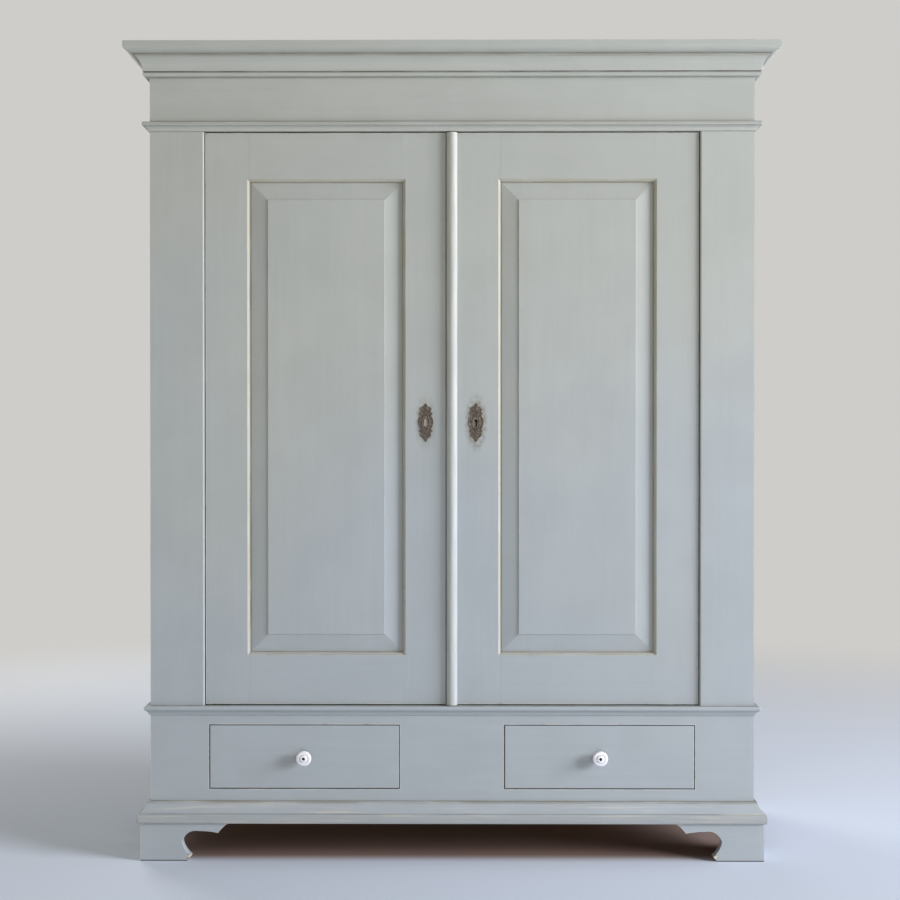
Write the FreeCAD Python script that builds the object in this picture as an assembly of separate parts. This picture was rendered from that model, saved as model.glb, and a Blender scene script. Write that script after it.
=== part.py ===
import FreeCAD, Part
import math
import os

# A free-standing two-door wardrobe in painted pine with two drawers beneath the doors.
# Lengths are in millimetres. X runs to the right along the front, Y towards the back and Z up.
# The origin is on the floor, under the middle of the whole wardrobe, cornice included.

# Heights of the front, from the floor up
foot_height = 93.0
base_moulding_height = 50.0
drawer_sill_height = 29.0
drawer_opening_height = 159.0
waist_rail_height = 24.0
waist_moulding_height = 23.0
door_opening_height = 1413.0
neck_moulding_height = 22.0
frieze_height = 110.0
cornice_bed_height = 51.0
cornice_cap_height = 26.0

# Widths and depth of the case
body_width = 1486.0
body_depth = 530.0
corner_stile_width = 133.0
drawer_end_width = 144.5
drawer_centre_width = 257.0

# How far the mouldings and feet stand out from the case
cornice_projection = 55.0
neck_projection = 16.0
waist_projection = 14.0
base_projection = 28.0
foot_projection = 21.0

# Boards of the case
front_thickness = 24.0
side_thickness = 22.0
back_thickness = 14.0
back_rebate_width = 11.0
top_thickness = 14.0
deck_thickness = 22.0
shelf_thickness = 20.0
back_board_count = 8
top_board_count = 3
deck_board_count = 3
shelf_board_count = 2
tongue_length = 6.0
tongue_thickness_share = 0.34

# Joints of the front frame
frame_tenon_thickness = 8.0
frame_tenon_length = 18.0
frame_tenon_shoulder = 22.0
stile_edge_round = 4.0

# Head rail behind the frieze, and the stop that the doors close against
head_rail_depth = 36.0
head_rail_height = 42.0
door_stop_height = 12.0

# Inside the hanging space
cleat_width = 22.0
cleat_height = 22.0
deck_bearer_width = 22.0
shelf_level = 1600.0
shelf_setback = 60.0
hanging_rail_diameter = 30.0
hanging_rail_drop = 56.0
hanging_rail_end_gap = 0.5
rail_socket_thickness = 18.0
rail_socket_wall = 15.0

# Doors
door_thickness = 26.0
door_recess = 7.0
door_side_gap = 2.4
door_end_gap = 2.5
meeting_gap = 1.5
hinge_stile_width = 109.0
meeting_stile_width = 107.0
top_rail_height = 119.0
bottom_rail_height = 127.0
door_tenon_length = 60.0
door_tenon_shoulder = 26.0
panel_groove_depth = 12.0
panel_tongue_play = 3.0
panel_tongue_thickness = 7.5
panel_groove_setback = 12.5
panel_field_setback = 2.5
panel_field_step = 2.5
panel_bevel_width = 45.0
sticking_width = 6.0

# Half-round bead that covers the meeting of the doors
astragal_width = 27.0
astragal_projection = 14.0
astragal_edge_height = 0.5
astragal_drop = 1.3

# Centre pins that the doors turn on
pivot_inset = 12.0
pivot_setback = 7.0
pivot_pin_diameter = 7.0
pivot_pin_engagement = 14.0
pivot_collar_diameter = 11.0
pivot_plate_width = 11.0
pivot_plate_length = 60.0
pivot_plate_heel = 10.0
pivot_plate_thickness = 3.0
pivot_clearance = 0.05

# Escutcheons and keyhole
escutcheon_height = 95.0
escutcheon_width = 37.4
escutcheon_thickness = 1.8
escutcheon_level = 1075.0
left_escutcheon_inset = 64.5
right_escutcheon_inset = 59.5
escutcheon_slot_width = 5.6
escutcheon_slot_height = 19.0
keyhole_head_diameter = 7.0
keyhole_slot_width = 3.6
keyhole_drop = 13.0
keyhole_rise = 4.0
escutcheon_outline_shares = (
    (0.00, 1.00, 0.0),
    (0.24, 0.90, 0.0),
    (0.20, 0.81, 0.0),
    (0.76, 0.72, -0.14),
    (0.66, 0.57, 0.22),
    (0.86, 0.48, 0.0),
    (0.70, 0.35, 0.0),
)

# Rim lock on the right door and its keep on the left door
lock_case_length = 96.0
lock_case_height = 120.0
lock_case_thickness = 16.0
lock_edge_setback = 3.0
lock_bolt_height = 30.0
lock_bolt_thickness = 8.0
lock_bolt_length = 72.0
lock_bolt_travel = 15.0
lock_bolt_proud = 1.0
slide_clearance = 0.3
keep_length = 24.0
keep_wall = 4.0
keep_edge_setback = 3.0

# Slide bolts that hold the left door shut
bolt_inset = 26.0
bolt_plate_width = 34.0
bolt_plate_height = 150.0
bolt_plate_thickness = 3.0
bolt_width = 12.0
bolt_thickness = 6.0
bolt_length = 168.0
bolt_travel = 16.0
bolt_end_gap = 3.0
bolt_staple_height = 14.0
bolt_staple_wall = 3.0
bolt_staple_end = 12.0
bolt_knob_diameter = 12.0
bolt_knob_length = 12.0

# Drawers
drawer_gap = 2.0
drawer_front_thickness = 22.0
drawer_front_round = 1.6
drawer_lap = 6.0
drawer_rear_space = 36.0
drawer_side_thickness = 14.0
drawer_side_height = 140.0
drawer_back_thickness = 14.0
drawer_back_drop = 8.0
drawer_bottom_thickness = 8.0
drawer_bottom_lift = 10.0
drawer_groove_depth = 6.0
drawer_seat_gap = 0.3
dovetail_count = 3
dovetail_wide_share = 0.62
dovetail_narrow_share = 0.44
runner_width = 46.0
runner_thickness = 22.0
guide_height = 20.0
guide_width = 16.0
bearer_depth = 40.0
bearer_height = 22.0
drawer_stop_gap = 0.3

# Porcelain knobs and their screws
knob_diameter = 38.0
knob_length = 28.0
knob_bore = 4.4
screw_diameter = 4.0
screw_head_diameter = 7.0
screw_head_height = 2.4
screw_sink = 1.2
screw_bite = 18.0
screw_clearance = 0.1
knob_flat_count = 30

# Scrolled bracket feet
foot_thickness = 24.0
foot_length = 217.0
foot_sole_length = 114.0
foot_block_size = 50.0
rear_foot_length = 150.0

# Cuts run this far past the faces that they open
overrun = 1.0

# Levels worked out from the heights above
base_top = foot_height + base_moulding_height
drawer_bottom = base_top + drawer_sill_height
drawer_top = drawer_bottom + drawer_opening_height
waist_bottom = drawer_top + waist_rail_height
sill = waist_bottom + waist_moulding_height
head = sill + door_opening_height
frieze_bottom = head + neck_moulding_height
frieze_top = frieze_bottom + frieze_height
cap_bottom = frieze_top + cornice_bed_height
overall_height = cap_bottom + cornice_cap_height

# Planes worked out from the widths and depths above
half_width = body_width / 2
side_inner = half_width - side_thickness
face_y = cornice_projection - (body_depth + cornice_projection) / 2
frame_back = face_y + front_thickness
back_y = face_y + body_depth
back_inner = back_y - back_thickness
door_face = face_y + door_recess
door_back = door_face + door_thickness
stile_inner = half_width - corner_stile_width
deck_top = sill + door_stop_height
deck_bottom = deck_top - deck_thickness
stop_bottom = head - door_stop_height
drawer_inner = drawer_centre_width / 2
drawer_outer = half_width - drawer_end_width
drawer_centre = (drawer_inner + drawer_outer) / 2
drawer_depth = back_inner - drawer_rear_space - face_y


def block(x_range, y_range, z_range):
    """A straight board or block between three pairs of limits."""
    low = [min(limits) for limits in (x_range, y_range, z_range)]
    high = [max(limits) for limits in (x_range, y_range, z_range)]
    size = [b - a for a, b in zip(low, high)]
    return Part.makeBox(*size, FreeCAD.Vector(*low))


def mirrored(shape):
    """The same piece on the other side of the wardrobe's middle."""
    return shape.mirror(FreeCAD.Vector(0, 0, 0), FreeCAD.Vector(1, 0, 0))


def both_sides(shape):
    return [shape, mirrored(shape)]


def save(name, *shapes):
    """Write every solid of the shapes, each one separate, as one named sub-part."""
    solids = []
    for shape in shapes:
        solids += shape.removeSplitter().Solids
    Part.makeCompound(solids).exportStep("parts/" + name + ".step")


def bow_point(start, end, bow_share):
    """The middle of a curved edge, off the chord by a share of its length."""
    across = end[0] - start[0]
    up = end[1] - start[1]
    return (start[0] + across / 2 + up * bow_share, start[1] + up / 2 - across * bow_share)


def outline(steps, place):
    """A closed face through (across, up) steps, where a third value bows the edge that leads there."""
    edges = []
    for before, step in zip(steps, steps[1:] + steps[:1]):
        start = place(*before[:2])
        end = place(*step[:2])
        if len(step) == 3 and step[2]:
            middle = place(*bow_point(before, step, step[2]))
            edges.append(Part.Arc(start, middle, end).toShape())
        else:
            edges.append(Part.LineSegment(start, end).toShape())
    return Part.Face(Part.Wire(edges))


def flat_prism(points, z_low, z_high):
    """A plan of straight lines, raised from one level to another."""
    face = outline(points, lambda x, y: FreeCAD.Vector(x, y, z_low))
    return face.extrude(FreeCAD.Vector(0, 0, z_high - z_low))


def rectangle_wire(x_range, z_range, y):
    corners = [(x, y, z) for x, z in zip(
        (x_range[0], x_range[1], x_range[1], x_range[0], x_range[0]),
        (z_range[0], z_range[0], z_range[1], z_range[1], z_range[0]),
    )]
    return Part.makePolygon([FreeCAD.Vector(*corner) for corner in corners])


def grown(limits, amount):
    return (limits[0] - amount, limits[1] + amount)


def frustum(x_range, z_range, y_near, near_growth, y_far):
    """A block whose rectangle grows evenly from the far depth to the near one."""
    near = rectangle_wire(grown(x_range, near_growth), grown(z_range, near_growth), y_near)
    far = rectangle_wire(x_range, z_range, y_far)
    return Part.makeLoft([near, far], True, True)


def round_bar(diameter, start, end):
    """A cylinder between two points on one axis."""
    base = FreeCAD.Vector(*start)
    run = FreeCAD.Vector(*end) - base
    return Part.makeCylinder(diameter / 2, run.Length, base, run)


# Mouldings that run round the front and both sides
def mitred_lengths(steps):
    """A front length and two side lengths of one section, mitred at the front corners."""
    near = -front_thickness
    far = cornice_projection + overrun
    low = min(step[1] for step in steps) - overrun
    high = max(step[1] for step in steps) + overrun
    front_face = outline(steps, lambda out, z: FreeCAD.Vector(-half_width - far, face_y - out, z))
    front = front_face.extrude(FreeCAD.Vector(body_width + 2 * far, 0, 0))
    front_plan = [
        (-half_width - near, face_y - near),
        (half_width + near, face_y - near),
        (half_width + far, face_y - far),
        (-half_width - far, face_y - far),
    ]
    front = front.common(flat_prism(front_plan, low, high))
    side_face = outline(steps, lambda out, z: FreeCAD.Vector(half_width + out, face_y - far, z))
    side = side_face.extrude(FreeCAD.Vector(0, back_y - face_y + far, 0))
    side_plan = [
        (half_width + near, face_y - near),
        (half_width + far, face_y - far),
        (half_width + far, back_y),
        (half_width + near, back_y),
    ]
    side = side.common(flat_prism(side_plan, low, high))
    return [front] + both_sides(side)


def cornice_cap_section():
    lap = front_thickness / 2
    soffit = 0.58 * cornice_projection
    ovolo_top_share = 0.42
    return [
        (-lap, cap_bottom),
        (soffit, cap_bottom),
        (cornice_projection, cap_bottom + cornice_cap_height * ovolo_top_share, 0.13),
        (cornice_projection, overall_height),
        (-lap, overall_height),
    ]


def cornice_bed_section():
    bead_share = 0.215
    quirk_share = 0.035
    fillet_share = 0.10
    bead_out = 0.27 * cornice_projection
    hollow_foot = 0.27 * cornice_projection
    hollow_head = 0.52 * cornice_projection
    fillet_out = 0.56 * cornice_projection
    bead_top = frieze_top + cornice_bed_height * bead_share
    hollow_bottom = bead_top + cornice_bed_height * quirk_share
    fillet_bottom = cap_bottom - cornice_bed_height * fillet_share
    quirk_out = bead_out * 0.7
    return [
        (0, frieze_top),
        (quirk_out, frieze_top),
        (quirk_out, bead_top, 0.40),
        (quirk_out, hollow_bottom),
        (hollow_foot, hollow_bottom),
        (hollow_head, fillet_bottom, -0.11),
        (fillet_out, fillet_bottom),
        (fillet_out, cap_bottom),
        (0, cap_bottom),
    ]


def neck_section():
    foot_out = 0.25 * neck_projection
    hollow_out = 0.76 * neck_projection
    hollow_top = head + 0.52 * neck_moulding_height
    nose_bottom = head + 0.58 * neck_moulding_height
    nose_top = frieze_bottom - 0.10 * neck_moulding_height
    top_out = 0.75 * neck_projection
    return [
        (0, head),
        (foot_out, head),
        (hollow_out, hollow_top, -0.20),
        (hollow_out, nose_bottom),
        (neck_projection, nose_bottom),
        (neck_projection, nose_top),
        (top_out, frieze_bottom, 0.10),
        (0, frieze_bottom),
    ]


def waist_section():
    foot_out = 0.20 * waist_projection
    nose_root = 0.56 * waist_projection
    top_out = 0.80 * waist_projection
    nose_bottom = waist_bottom + 0.43 * waist_moulding_height
    return [
        (0, waist_bottom),
        (foot_out, waist_bottom),
        (nose_root, nose_bottom, -0.04),
        (top_out, sill, 0.30),
        (0, sill),
    ]


def base_section():
    top_out = 0.24 * base_projection
    slope_out = 0.78 * base_projection
    ledge_out = 0.86 * base_projection
    slope_foot = foot_height + 0.50 * base_moulding_height
    ledge = foot_height + 0.455 * base_moulding_height
    shoulder = foot_height + 0.38 * base_moulding_height
    band_bottom = foot_height + 0.06 * base_moulding_height
    bottom_out = 0.95 * base_projection
    band_out = 0.985 * base_projection
    return [
        (0, foot_height),
        (bottom_out, foot_height),
        (band_out, band_bottom),
        (band_out, shoulder, 0.03),
        (ledge_out, ledge, 0.20),
        (slope_out, ledge),
        (slope_out, slope_foot),
        (top_out, base_top, -0.04),
        (0, base_top),
    ]


# Boards laid side by side, each with its tongue in the next one's groove
def tongued_boards(count, across, thickness, place):
    """Boards from one limit to the other. place turns two pairs of limits into a board."""
    width = (across[1] - across[0]) / count
    total = thickness[1] - thickness[0]
    tongue_low = thickness[0] + total * (1 - tongue_thickness_share) / 2
    tongue = (tongue_low, tongue_low + total * tongue_thickness_share)
    boards = []
    for number in range(count):
        low = across[0] + number * width
        high = low + width
        board = place((low, high), thickness)
        if number + 1 < count:
            board = board.fuse(place((high, high + tongue_length), tongue))
        if number:
            board = board.cut(place((low - overrun, low + tongue_length), tongue))
        boards.append(board)
    return boards


def make_sides():
    side = block((side_inner, half_width), (frame_back, back_y), (foot_height, cap_bottom))
    rebate = block(
        (side_inner - overrun, side_inner + back_rebate_width),
        (back_inner, back_y + overrun),
        (foot_height - overrun, cap_bottom + overrun),
    )
    side = side.cut(rebate)
    save("side_right", side)
    save("side_left", mirrored(side))


def make_back():
    reach = side_inner + back_rebate_width

    def place(x_range, y_range):
        return block(x_range, y_range, (foot_height, cap_bottom))

    save("back_boards", *tongued_boards(back_board_count, (-reach, reach), (back_inner, back_y), place))


def make_top():
    reach = half_width - front_thickness / 2

    def place(y_range, z_range):
        return block((-reach, reach), y_range, z_range)

    limits = (face_y + front_thickness / 2, back_y)
    levels = (cap_bottom, cap_bottom + top_thickness)
    save("top_boards", *tongued_boards(top_board_count, limits, levels, place))


# Front frame, all in one plane
def frame_tenon_y():
    low = face_y + (front_thickness - frame_tenon_thickness) / 2
    return (low, low + frame_tenon_thickness)


def upright_with_tenons(x_range, z_range):
    """An upright of the front frame and the tenons at its two ends."""
    tenon_x = grown(x_range, -frame_tenon_shoulder)
    tenons = block(tenon_x, frame_tenon_y(), grown(z_range, frame_tenon_length))
    return block(x_range, (face_y, frame_back), z_range).fuse(tenons)


def corner_stile():
    stile = upright_with_tenons((stile_inner, half_width), (sill, head))
    front_edges = [
        edge for edge in stile.Edges
        if edge.BoundBox.XMax < stile_inner + stile_edge_round
        and edge.BoundBox.YMax < face_y + stile_edge_round
        and edge.BoundBox.ZLength > stile_edge_round
    ]
    return stile.makeFillet(stile_edge_round, front_edges)


def end_upright():
    return upright_with_tenons((drawer_outer, half_width), (drawer_bottom, drawer_top))


def centre_upright():
    return upright_with_tenons((-drawer_inner, drawer_inner), (drawer_bottom, drawer_top))


def pivot_x():
    return stile_inner - door_side_gap - pivot_inset


def pivot_y():
    return door_face + pivot_setback


def pivot_plate(z_range):
    """The iron plate that is let into an edge round one centre pin."""
    x_range = (pivot_x() + pivot_plate_heel - pivot_plate_length, pivot_x() + pivot_plate_heel)
    y_range = grown((pivot_y(), pivot_y()), pivot_plate_width / 2)
    return block(x_range, y_range, z_range)


def make_front_frame():
    stile = corner_stile()
    end = end_upright()
    centre = centre_upright()
    uprights = both_sides(stile) + both_sides(end) + [centre]
    full = (-half_width, half_width)
    plane = (face_y, frame_back)
    frieze = block(full, plane, (head, cap_bottom))
    frieze = frieze.cut(uprights)
    frieze = frieze.cut(both_sides(pivot_plate((head, head + pivot_plate_thickness))))
    waist_rail = block(full, plane, (drawer_top, sill))
    waist_rail = waist_rail.cut(uprights)
    waist_rail = waist_rail.cut(both_sides(pivot_plate((sill - pivot_plate_thickness, sill))))
    base_rail = block(full, plane, (foot_height, drawer_bottom)).cut(uprights)
    save("frieze_board", frieze)
    save("stile_right", stile)
    save("stile_left", mirrored(stile))
    save("waist_rail", waist_rail)
    save("drawer_uprights", centre, *both_sides(end))
    save("base_rail", base_rail)


def door_swing_depth():
    """How far behind the front face plane of the doors the hinge corner swings."""
    behind_axis = math.hypot(pivot_inset, door_thickness - pivot_setback)
    return door_face + pivot_setback + behind_axis + slide_clearance


def door_rebate(z_range):
    """The space that a stop leaves for the doors, deeper where their hinge corners swing."""
    closed = block(
        (-half_width, half_width),
        (frame_back - overrun, door_back + slide_clearance),
        z_range,
    )
    swing = block(
        (pivot_x() - pivot_inset - overrun, half_width),
        (frame_back - overrun, door_swing_depth()),
        z_range,
    )
    return [closed] + both_sides(swing)


def bolt_x():
    return -astragal_width / 2 - meeting_gap - bolt_inset


def bolt_hole(z_range):
    """The socket that a slide bolt shoots into."""
    x_range = grown((bolt_x(), bolt_x()), bolt_width / 2 + slide_clearance)
    return block(x_range, grown(bolt_y_range(), slide_clearance), z_range)


def bolt_y_range():
    low = door_back + bolt_plate_thickness + slide_clearance
    return (low, low + bolt_thickness)


def make_head_rail():
    rail = block(
        (-side_inner, side_inner),
        (frame_back, frame_back + head_rail_depth),
        (stop_bottom, stop_bottom + head_rail_height),
    )
    rail = rail.cut(door_rebate((stop_bottom - overrun, head)))
    reach = bolt_travel - bolt_end_gap + slide_clearance
    rail = rail.cut(bolt_hole((stop_bottom - overrun, stop_bottom + reach)))
    save("head_rail", rail)


# Inside the hanging space
def make_deck():
    def place(y_range, z_range):
        return block((-side_inner, side_inner), y_range, z_range)

    boards = tongued_boards(deck_board_count, (frame_back, back_inner), (deck_bottom, deck_top), place)
    boards[0] = boards[0].cut(door_rebate((sill, deck_top + overrun)))
    boards[0] = boards[0].cut(bolt_hole((deck_bottom - overrun, deck_top + overrun)))
    save("deck_boards", *boards)
    side_cleat = block(
        (side_inner - cleat_width, side_inner),
        (frame_back, back_inner),
        (deck_bottom - cleat_height, deck_bottom),
    )
    bearer = block(
        (-deck_bearer_width / 2, deck_bearer_width / 2),
        (frame_back, back_inner),
        (drawer_top, deck_bottom),
    )
    return [bearer] + both_sides(side_cleat)


def make_shelf():
    front = face_y + shelf_setback
    bottom = shelf_level - shelf_thickness

    def place(y_range, z_range):
        return block((-side_inner, side_inner), y_range, z_range)

    save("hat_shelf", *tongued_boards(shelf_board_count, (front, back_inner), (bottom, shelf_level), place))
    side_cleat = block(
        (side_inner - cleat_width, side_inner),
        (front, back_inner - cleat_width),
        (bottom - cleat_height, bottom),
    )
    back_cleat = block(
        (-side_inner, side_inner),
        (back_inner - cleat_width, back_inner),
        (bottom - cleat_height, bottom),
    )
    return [back_cleat] + both_sides(side_cleat)


def make_hanging_rail():
    y = (face_y + shelf_setback + back_inner) / 2
    z = shelf_level - shelf_thickness - hanging_rail_drop
    reach = side_inner - hanging_rail_end_gap
    save("hanging_rail", round_bar(hanging_rail_diameter, (-reach, y, z), (reach, y, z)))
    inner = hanging_rail_diameter / 2 + slide_clearance
    outer = inner + rail_socket_wall

    def cup(radius, x_range, top):
        bar = round_bar(2 * radius, (x_range[0], y, z), (x_range[1], y, z))
        return bar.fuse(block(x_range, (y - radius, y + radius), (z, top)))

    socket_x = (side_inner - rail_socket_thickness, side_inner)
    crown = z + hanging_rail_diameter / 2
    lower_half = block(socket_x, (y - outer, y + outer), (z - outer, crown))
    socket = cup(outer, socket_x, crown).common(lower_half)
    socket = socket.cut(cup(inner, grown(socket_x, overrun), crown + overrun))
    save("rail_sockets", *both_sides(socket))


# Runners under the drawers
def make_drawer_carriage():
    bearer_z = (drawer_bottom - runner_thickness - bearer_height, drawer_bottom - runner_thickness)
    front_bearer = block((-side_inner, side_inner), (frame_back, frame_back + bearer_depth), bearer_z)
    rear_bearer = block((-side_inner, side_inner), (back_inner - bearer_depth, back_inner), bearer_z)
    pieces = [front_bearer, rear_bearer]
    stop_y = (face_y + drawer_depth + drawer_stop_gap, back_inner)
    for edge, outward in ((drawer_outer, 1), (drawer_inner, -1)):
        shelf_x = (edge + outward * guide_width, edge + outward * (guide_width - runner_width))
        runner = block(shelf_x, (frame_back, back_inner), (drawer_bottom - runner_thickness, drawer_bottom))
        guide_x = (edge, edge + outward * guide_width)
        guide = block(guide_x, (frame_back, back_inner), (drawer_bottom, drawer_bottom + guide_height))
        stop = block((edge, shelf_x[1]), stop_y, (drawer_bottom, drawer_bottom + guide_height))
        pieces += both_sides(runner) + both_sides(guide) + both_sides(stop)
    save("drawer_runners", *pieces)


# Feet
def foot_steps():
    """The scrolled outline of a bracket foot: length from the corner, and level."""
    toe = (1.09 * foot_sole_length, 0.125 * foot_height)
    throat = (0.90 * foot_sole_length, 0.49 * foot_height)
    crown = (0.66 * foot_length, 0.785 * foot_height)
    cusp = (0.88 * foot_length, 0.735 * foot_height)
    return [
        (0, 0),
        (foot_sole_length, 0),
        toe,
        (*throat, -0.09),
        (*crown, -0.22),
        (*cusp, -0.03),
        (foot_length, foot_height, -0.06),
        (0, foot_height),
    ]


def make_feet():
    outer = half_width + foot_projection
    inner = outer - foot_thickness
    front = face_y - foot_projection
    corner = front + foot_thickness
    low, high = -overrun, foot_height + overrun
    face = outline(foot_steps(), lambda along, z: FreeCAD.Vector(outer - along, front, z))
    front_bracket = face.extrude(FreeCAD.Vector(0, foot_thickness, 0))
    front_end = outer - foot_length
    front_plan = [(outer, front), (inner, corner), (front_end, corner), (front_end, front)]
    front_bracket = front_bracket.common(flat_prism(front_plan, low, high))

    face = outline(foot_steps(), lambda along, z: FreeCAD.Vector(inner, front + along, z))
    side_bracket = face.extrude(FreeCAD.Vector(foot_thickness, 0, 0))
    side_end = front + foot_length
    side_plan = [(outer, front), (outer, side_end), (inner, side_end), (inner, corner)]
    side_bracket = side_bracket.common(flat_prism(side_plan, low, high))

    glue_block = block(
        (inner - foot_block_size, inner),
        (corner, corner + foot_block_size),
        (0, foot_height),
    )
    front_foot = [front_bracket, side_bracket, glue_block]
    save("foot_front_right", *front_foot)
    save("foot_front_left", *[mirrored(piece) for piece in front_foot])

    face = outline(foot_steps(), lambda along, z: FreeCAD.Vector(inner, back_y - along, z))
    rear_side = face.extrude(FreeCAD.Vector(foot_thickness, 0, 0))
    rear_board = block(
        (inner - rear_foot_length + foot_thickness, inner),
        (back_y - foot_thickness, back_y),
        (0, foot_height),
    )
    rear_block = block(
        (inner - foot_block_size, inner),
        (back_y - foot_thickness - foot_block_size, back_y - foot_thickness),
        (0, foot_height),
    )
    rear_pieces = []
    for piece in (rear_side, rear_board, rear_block):
        rear_pieces += both_sides(piece)
    save("feet_rear", *rear_pieces)


# Doors, drawn for the right-hand side and mirrored for the left
def door_z():
    return (sill + door_end_gap, head - door_end_gap)


def door_hinge_edge():
    return stile_inner - door_side_gap


def panel_x():
    return (astragal_width / 2 + meeting_stile_width, door_hinge_edge() - hinge_stile_width)


def panel_z():
    low, high = door_z()
    return (low + bottom_rail_height, high - top_rail_height)


def panel_groove_y():
    low = door_face + panel_groove_setback
    return (low, low + panel_tongue_thickness)


def door_pieces(meeting_edge):
    """Two stiles, two rails and a raised panel. The rails' tenons go into the stiles."""
    low, high = door_z()
    thick = (door_face, door_back)
    opening_x = panel_x()
    opening_z = panel_z()
    groove_x = grown(opening_x, panel_groove_depth)
    groove_z = grown(opening_z, panel_groove_depth)
    groove = block(groove_x, panel_groove_y(), groove_z)
    sticking = frustum(
        opening_x,
        opening_z,
        door_face - overrun,
        sticking_width + overrun,
        door_face + sticking_width,
    )
    rails = []
    tenon_x = grown(opening_x, door_tenon_length)
    for rail_z, tenon_z in (
        ((low, opening_z[0]), (low + door_tenon_shoulder, opening_z[0] - panel_groove_depth)),
        ((opening_z[1], high), (opening_z[1] + panel_groove_depth, high - door_tenon_shoulder)),
    ):
        rail = block(opening_x, thick, rail_z)
        rail = rail.cut(groove).cut(sticking)
        tenons = block(tenon_x, panel_groove_y(), tenon_z)
        rails.append(rail.fuse(tenons))
    hinge_stile = block((opening_x[1], door_hinge_edge()), thick, (low, high))
    meeting_stile = block((meeting_edge, opening_x[0]), thick, (low, high))
    stiles = []
    for stile in (hinge_stile, meeting_stile):
        stile = stile.cut([groove, sticking])
        stiles.append(stile.cut(rails))
    return stiles[0], stiles[1], rails[0], rails[1], raised_panel(opening_x, opening_z)


def raised_panel(opening_x, opening_z):
    """A panel with tongues in the grooves, a bevel all round and a flat field that stands up from it."""
    tongue_y = panel_groove_y()
    reach = panel_groove_depth - panel_tongue_play
    field_x = grown(opening_x, -panel_bevel_width)
    field_z = grown(opening_z, -panel_bevel_width)
    field_face = door_face + panel_field_setback
    bevel_top = field_face + panel_field_step
    plate = block(grown(opening_x, reach), tongue_y, grown(opening_z, reach))
    bevel = Part.makeLoft(
        [
            rectangle_wire(field_x, field_z, bevel_top),
            rectangle_wire(opening_x, opening_z, tongue_y[0]),
        ],
        True,
        True,
    )
    field = block(field_x, (field_face, bevel_top), field_z)
    return plate.fuse([bevel, field])


def pivot_bore(z_range):
    clearance = 2 * pivot_clearance
    return round_bar(
        pivot_pin_diameter + clearance,
        (pivot_x(), pivot_y(), z_range[0]),
        (pivot_x(), pivot_y(), z_range[1]),
    )


def make_pivots():
    """Pins on the case, below and above, and the socket plates on the doors."""
    low, high = door_z()
    x, y = pivot_x(), pivot_y()
    lower = pivot_plate((sill - pivot_plate_thickness, sill))
    lower = lower.fuse(round_bar(pivot_pin_diameter, (x, y, sill), (x, y, low + pivot_pin_engagement)))
    collar_top = low - pivot_clearance
    lower = lower.fuse(round_bar(pivot_collar_diameter, (x, y, sill), (x, y, collar_top)))
    upper = pivot_plate((head, head + pivot_plate_thickness))
    upper = upper.fuse(round_bar(pivot_pin_diameter, (x, y, high - pivot_pin_engagement), (x, y, head)))
    save("pivot_pins_lower", *both_sides(lower))
    save("pivot_pins_upper", *both_sides(upper))

    bottom_socket = pivot_plate((low, low + pivot_plate_thickness)).cut(pivot_bore((low - overrun, high)))
    top_socket = pivot_plate((high - pivot_plate_thickness, high)).cut(pivot_bore((low, high + overrun)))
    save("right_pivot_sockets", bottom_socket, top_socket)
    save("left_pivot_sockets", mirrored(bottom_socket), mirrored(top_socket))


def cut_for_pivots(hinge_stile):
    """Housings for the socket plates and bores for the pins, in the door's hinge stile."""
    low, high = door_z()
    deep = pivot_pin_engagement + overrun
    return hinge_stile.cut([
        pivot_plate((low - overrun, low + pivot_plate_thickness)),
        pivot_plate((high - pivot_plate_thickness, high + overrun)),
        pivot_bore((low - overrun, low + deep)),
        pivot_bore((high - deep, high + overrun)),
    ])


def escutcheon_plate(x):
    """A flat cast plate with a finial, shoulders and side points above and below its oval middle."""
    half_height = escutcheon_height / 2
    half_plate = escutcheon_width / 2
    top_right = [(half_plate * out, half_height * up, bow) for out, up, bow in escutcheon_outline_shares]
    bows = [bow for _, _, bow in top_right[1:]]
    oval_bow = (half_plate - top_right[-1][0]) / (2 * top_right[-1][1])
    right_points = [point[:2] for point in top_right]
    right_points += [(out, -up) for out, up in right_points[::-1]]
    left_points = [(-out, up) for out, up in right_points[-2:0:-1]]
    side_bows = bows + [oval_bow] + bows[::-1]
    points = right_points + left_points
    all_bows = [side_bows[-1]] + side_bows + side_bows[:-1]
    steps = [(out, up, -bow) for (out, up), bow in zip(points, all_bows)]
    face = outline(
        steps,
        lambda across, up: FreeCAD.Vector(x + across, door_face, escutcheon_level + up),
    )
    return face.extrude(FreeCAD.Vector(0, -escutcheon_thickness, 0))


def keyhole_cutter(x, y_range):
    level = escutcheon_level + keyhole_rise
    head_bore = round_bar(keyhole_head_diameter, (x, y_range[0], level), (x, y_range[1], level))
    slot = block(grown((x, x), keyhole_slot_width / 2), y_range, (level - keyhole_drop, level))
    return head_bore.fuse(slot)


def slot_cutter(x, y_range):
    half = escutcheon_slot_height / 2 - escutcheon_slot_width / 2
    middle = block(
        grown((x, x), escutcheon_slot_width / 2),
        y_range,
        grown((escutcheon_level, escutcheon_level), half),
    )
    ends = [
        round_bar(escutcheon_slot_width, (x, y_range[0], z), (x, y_range[1], z))
        for z in (escutcheon_level - half, escutcheon_level + half)
    ]
    return middle.fuse(ends)


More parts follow.
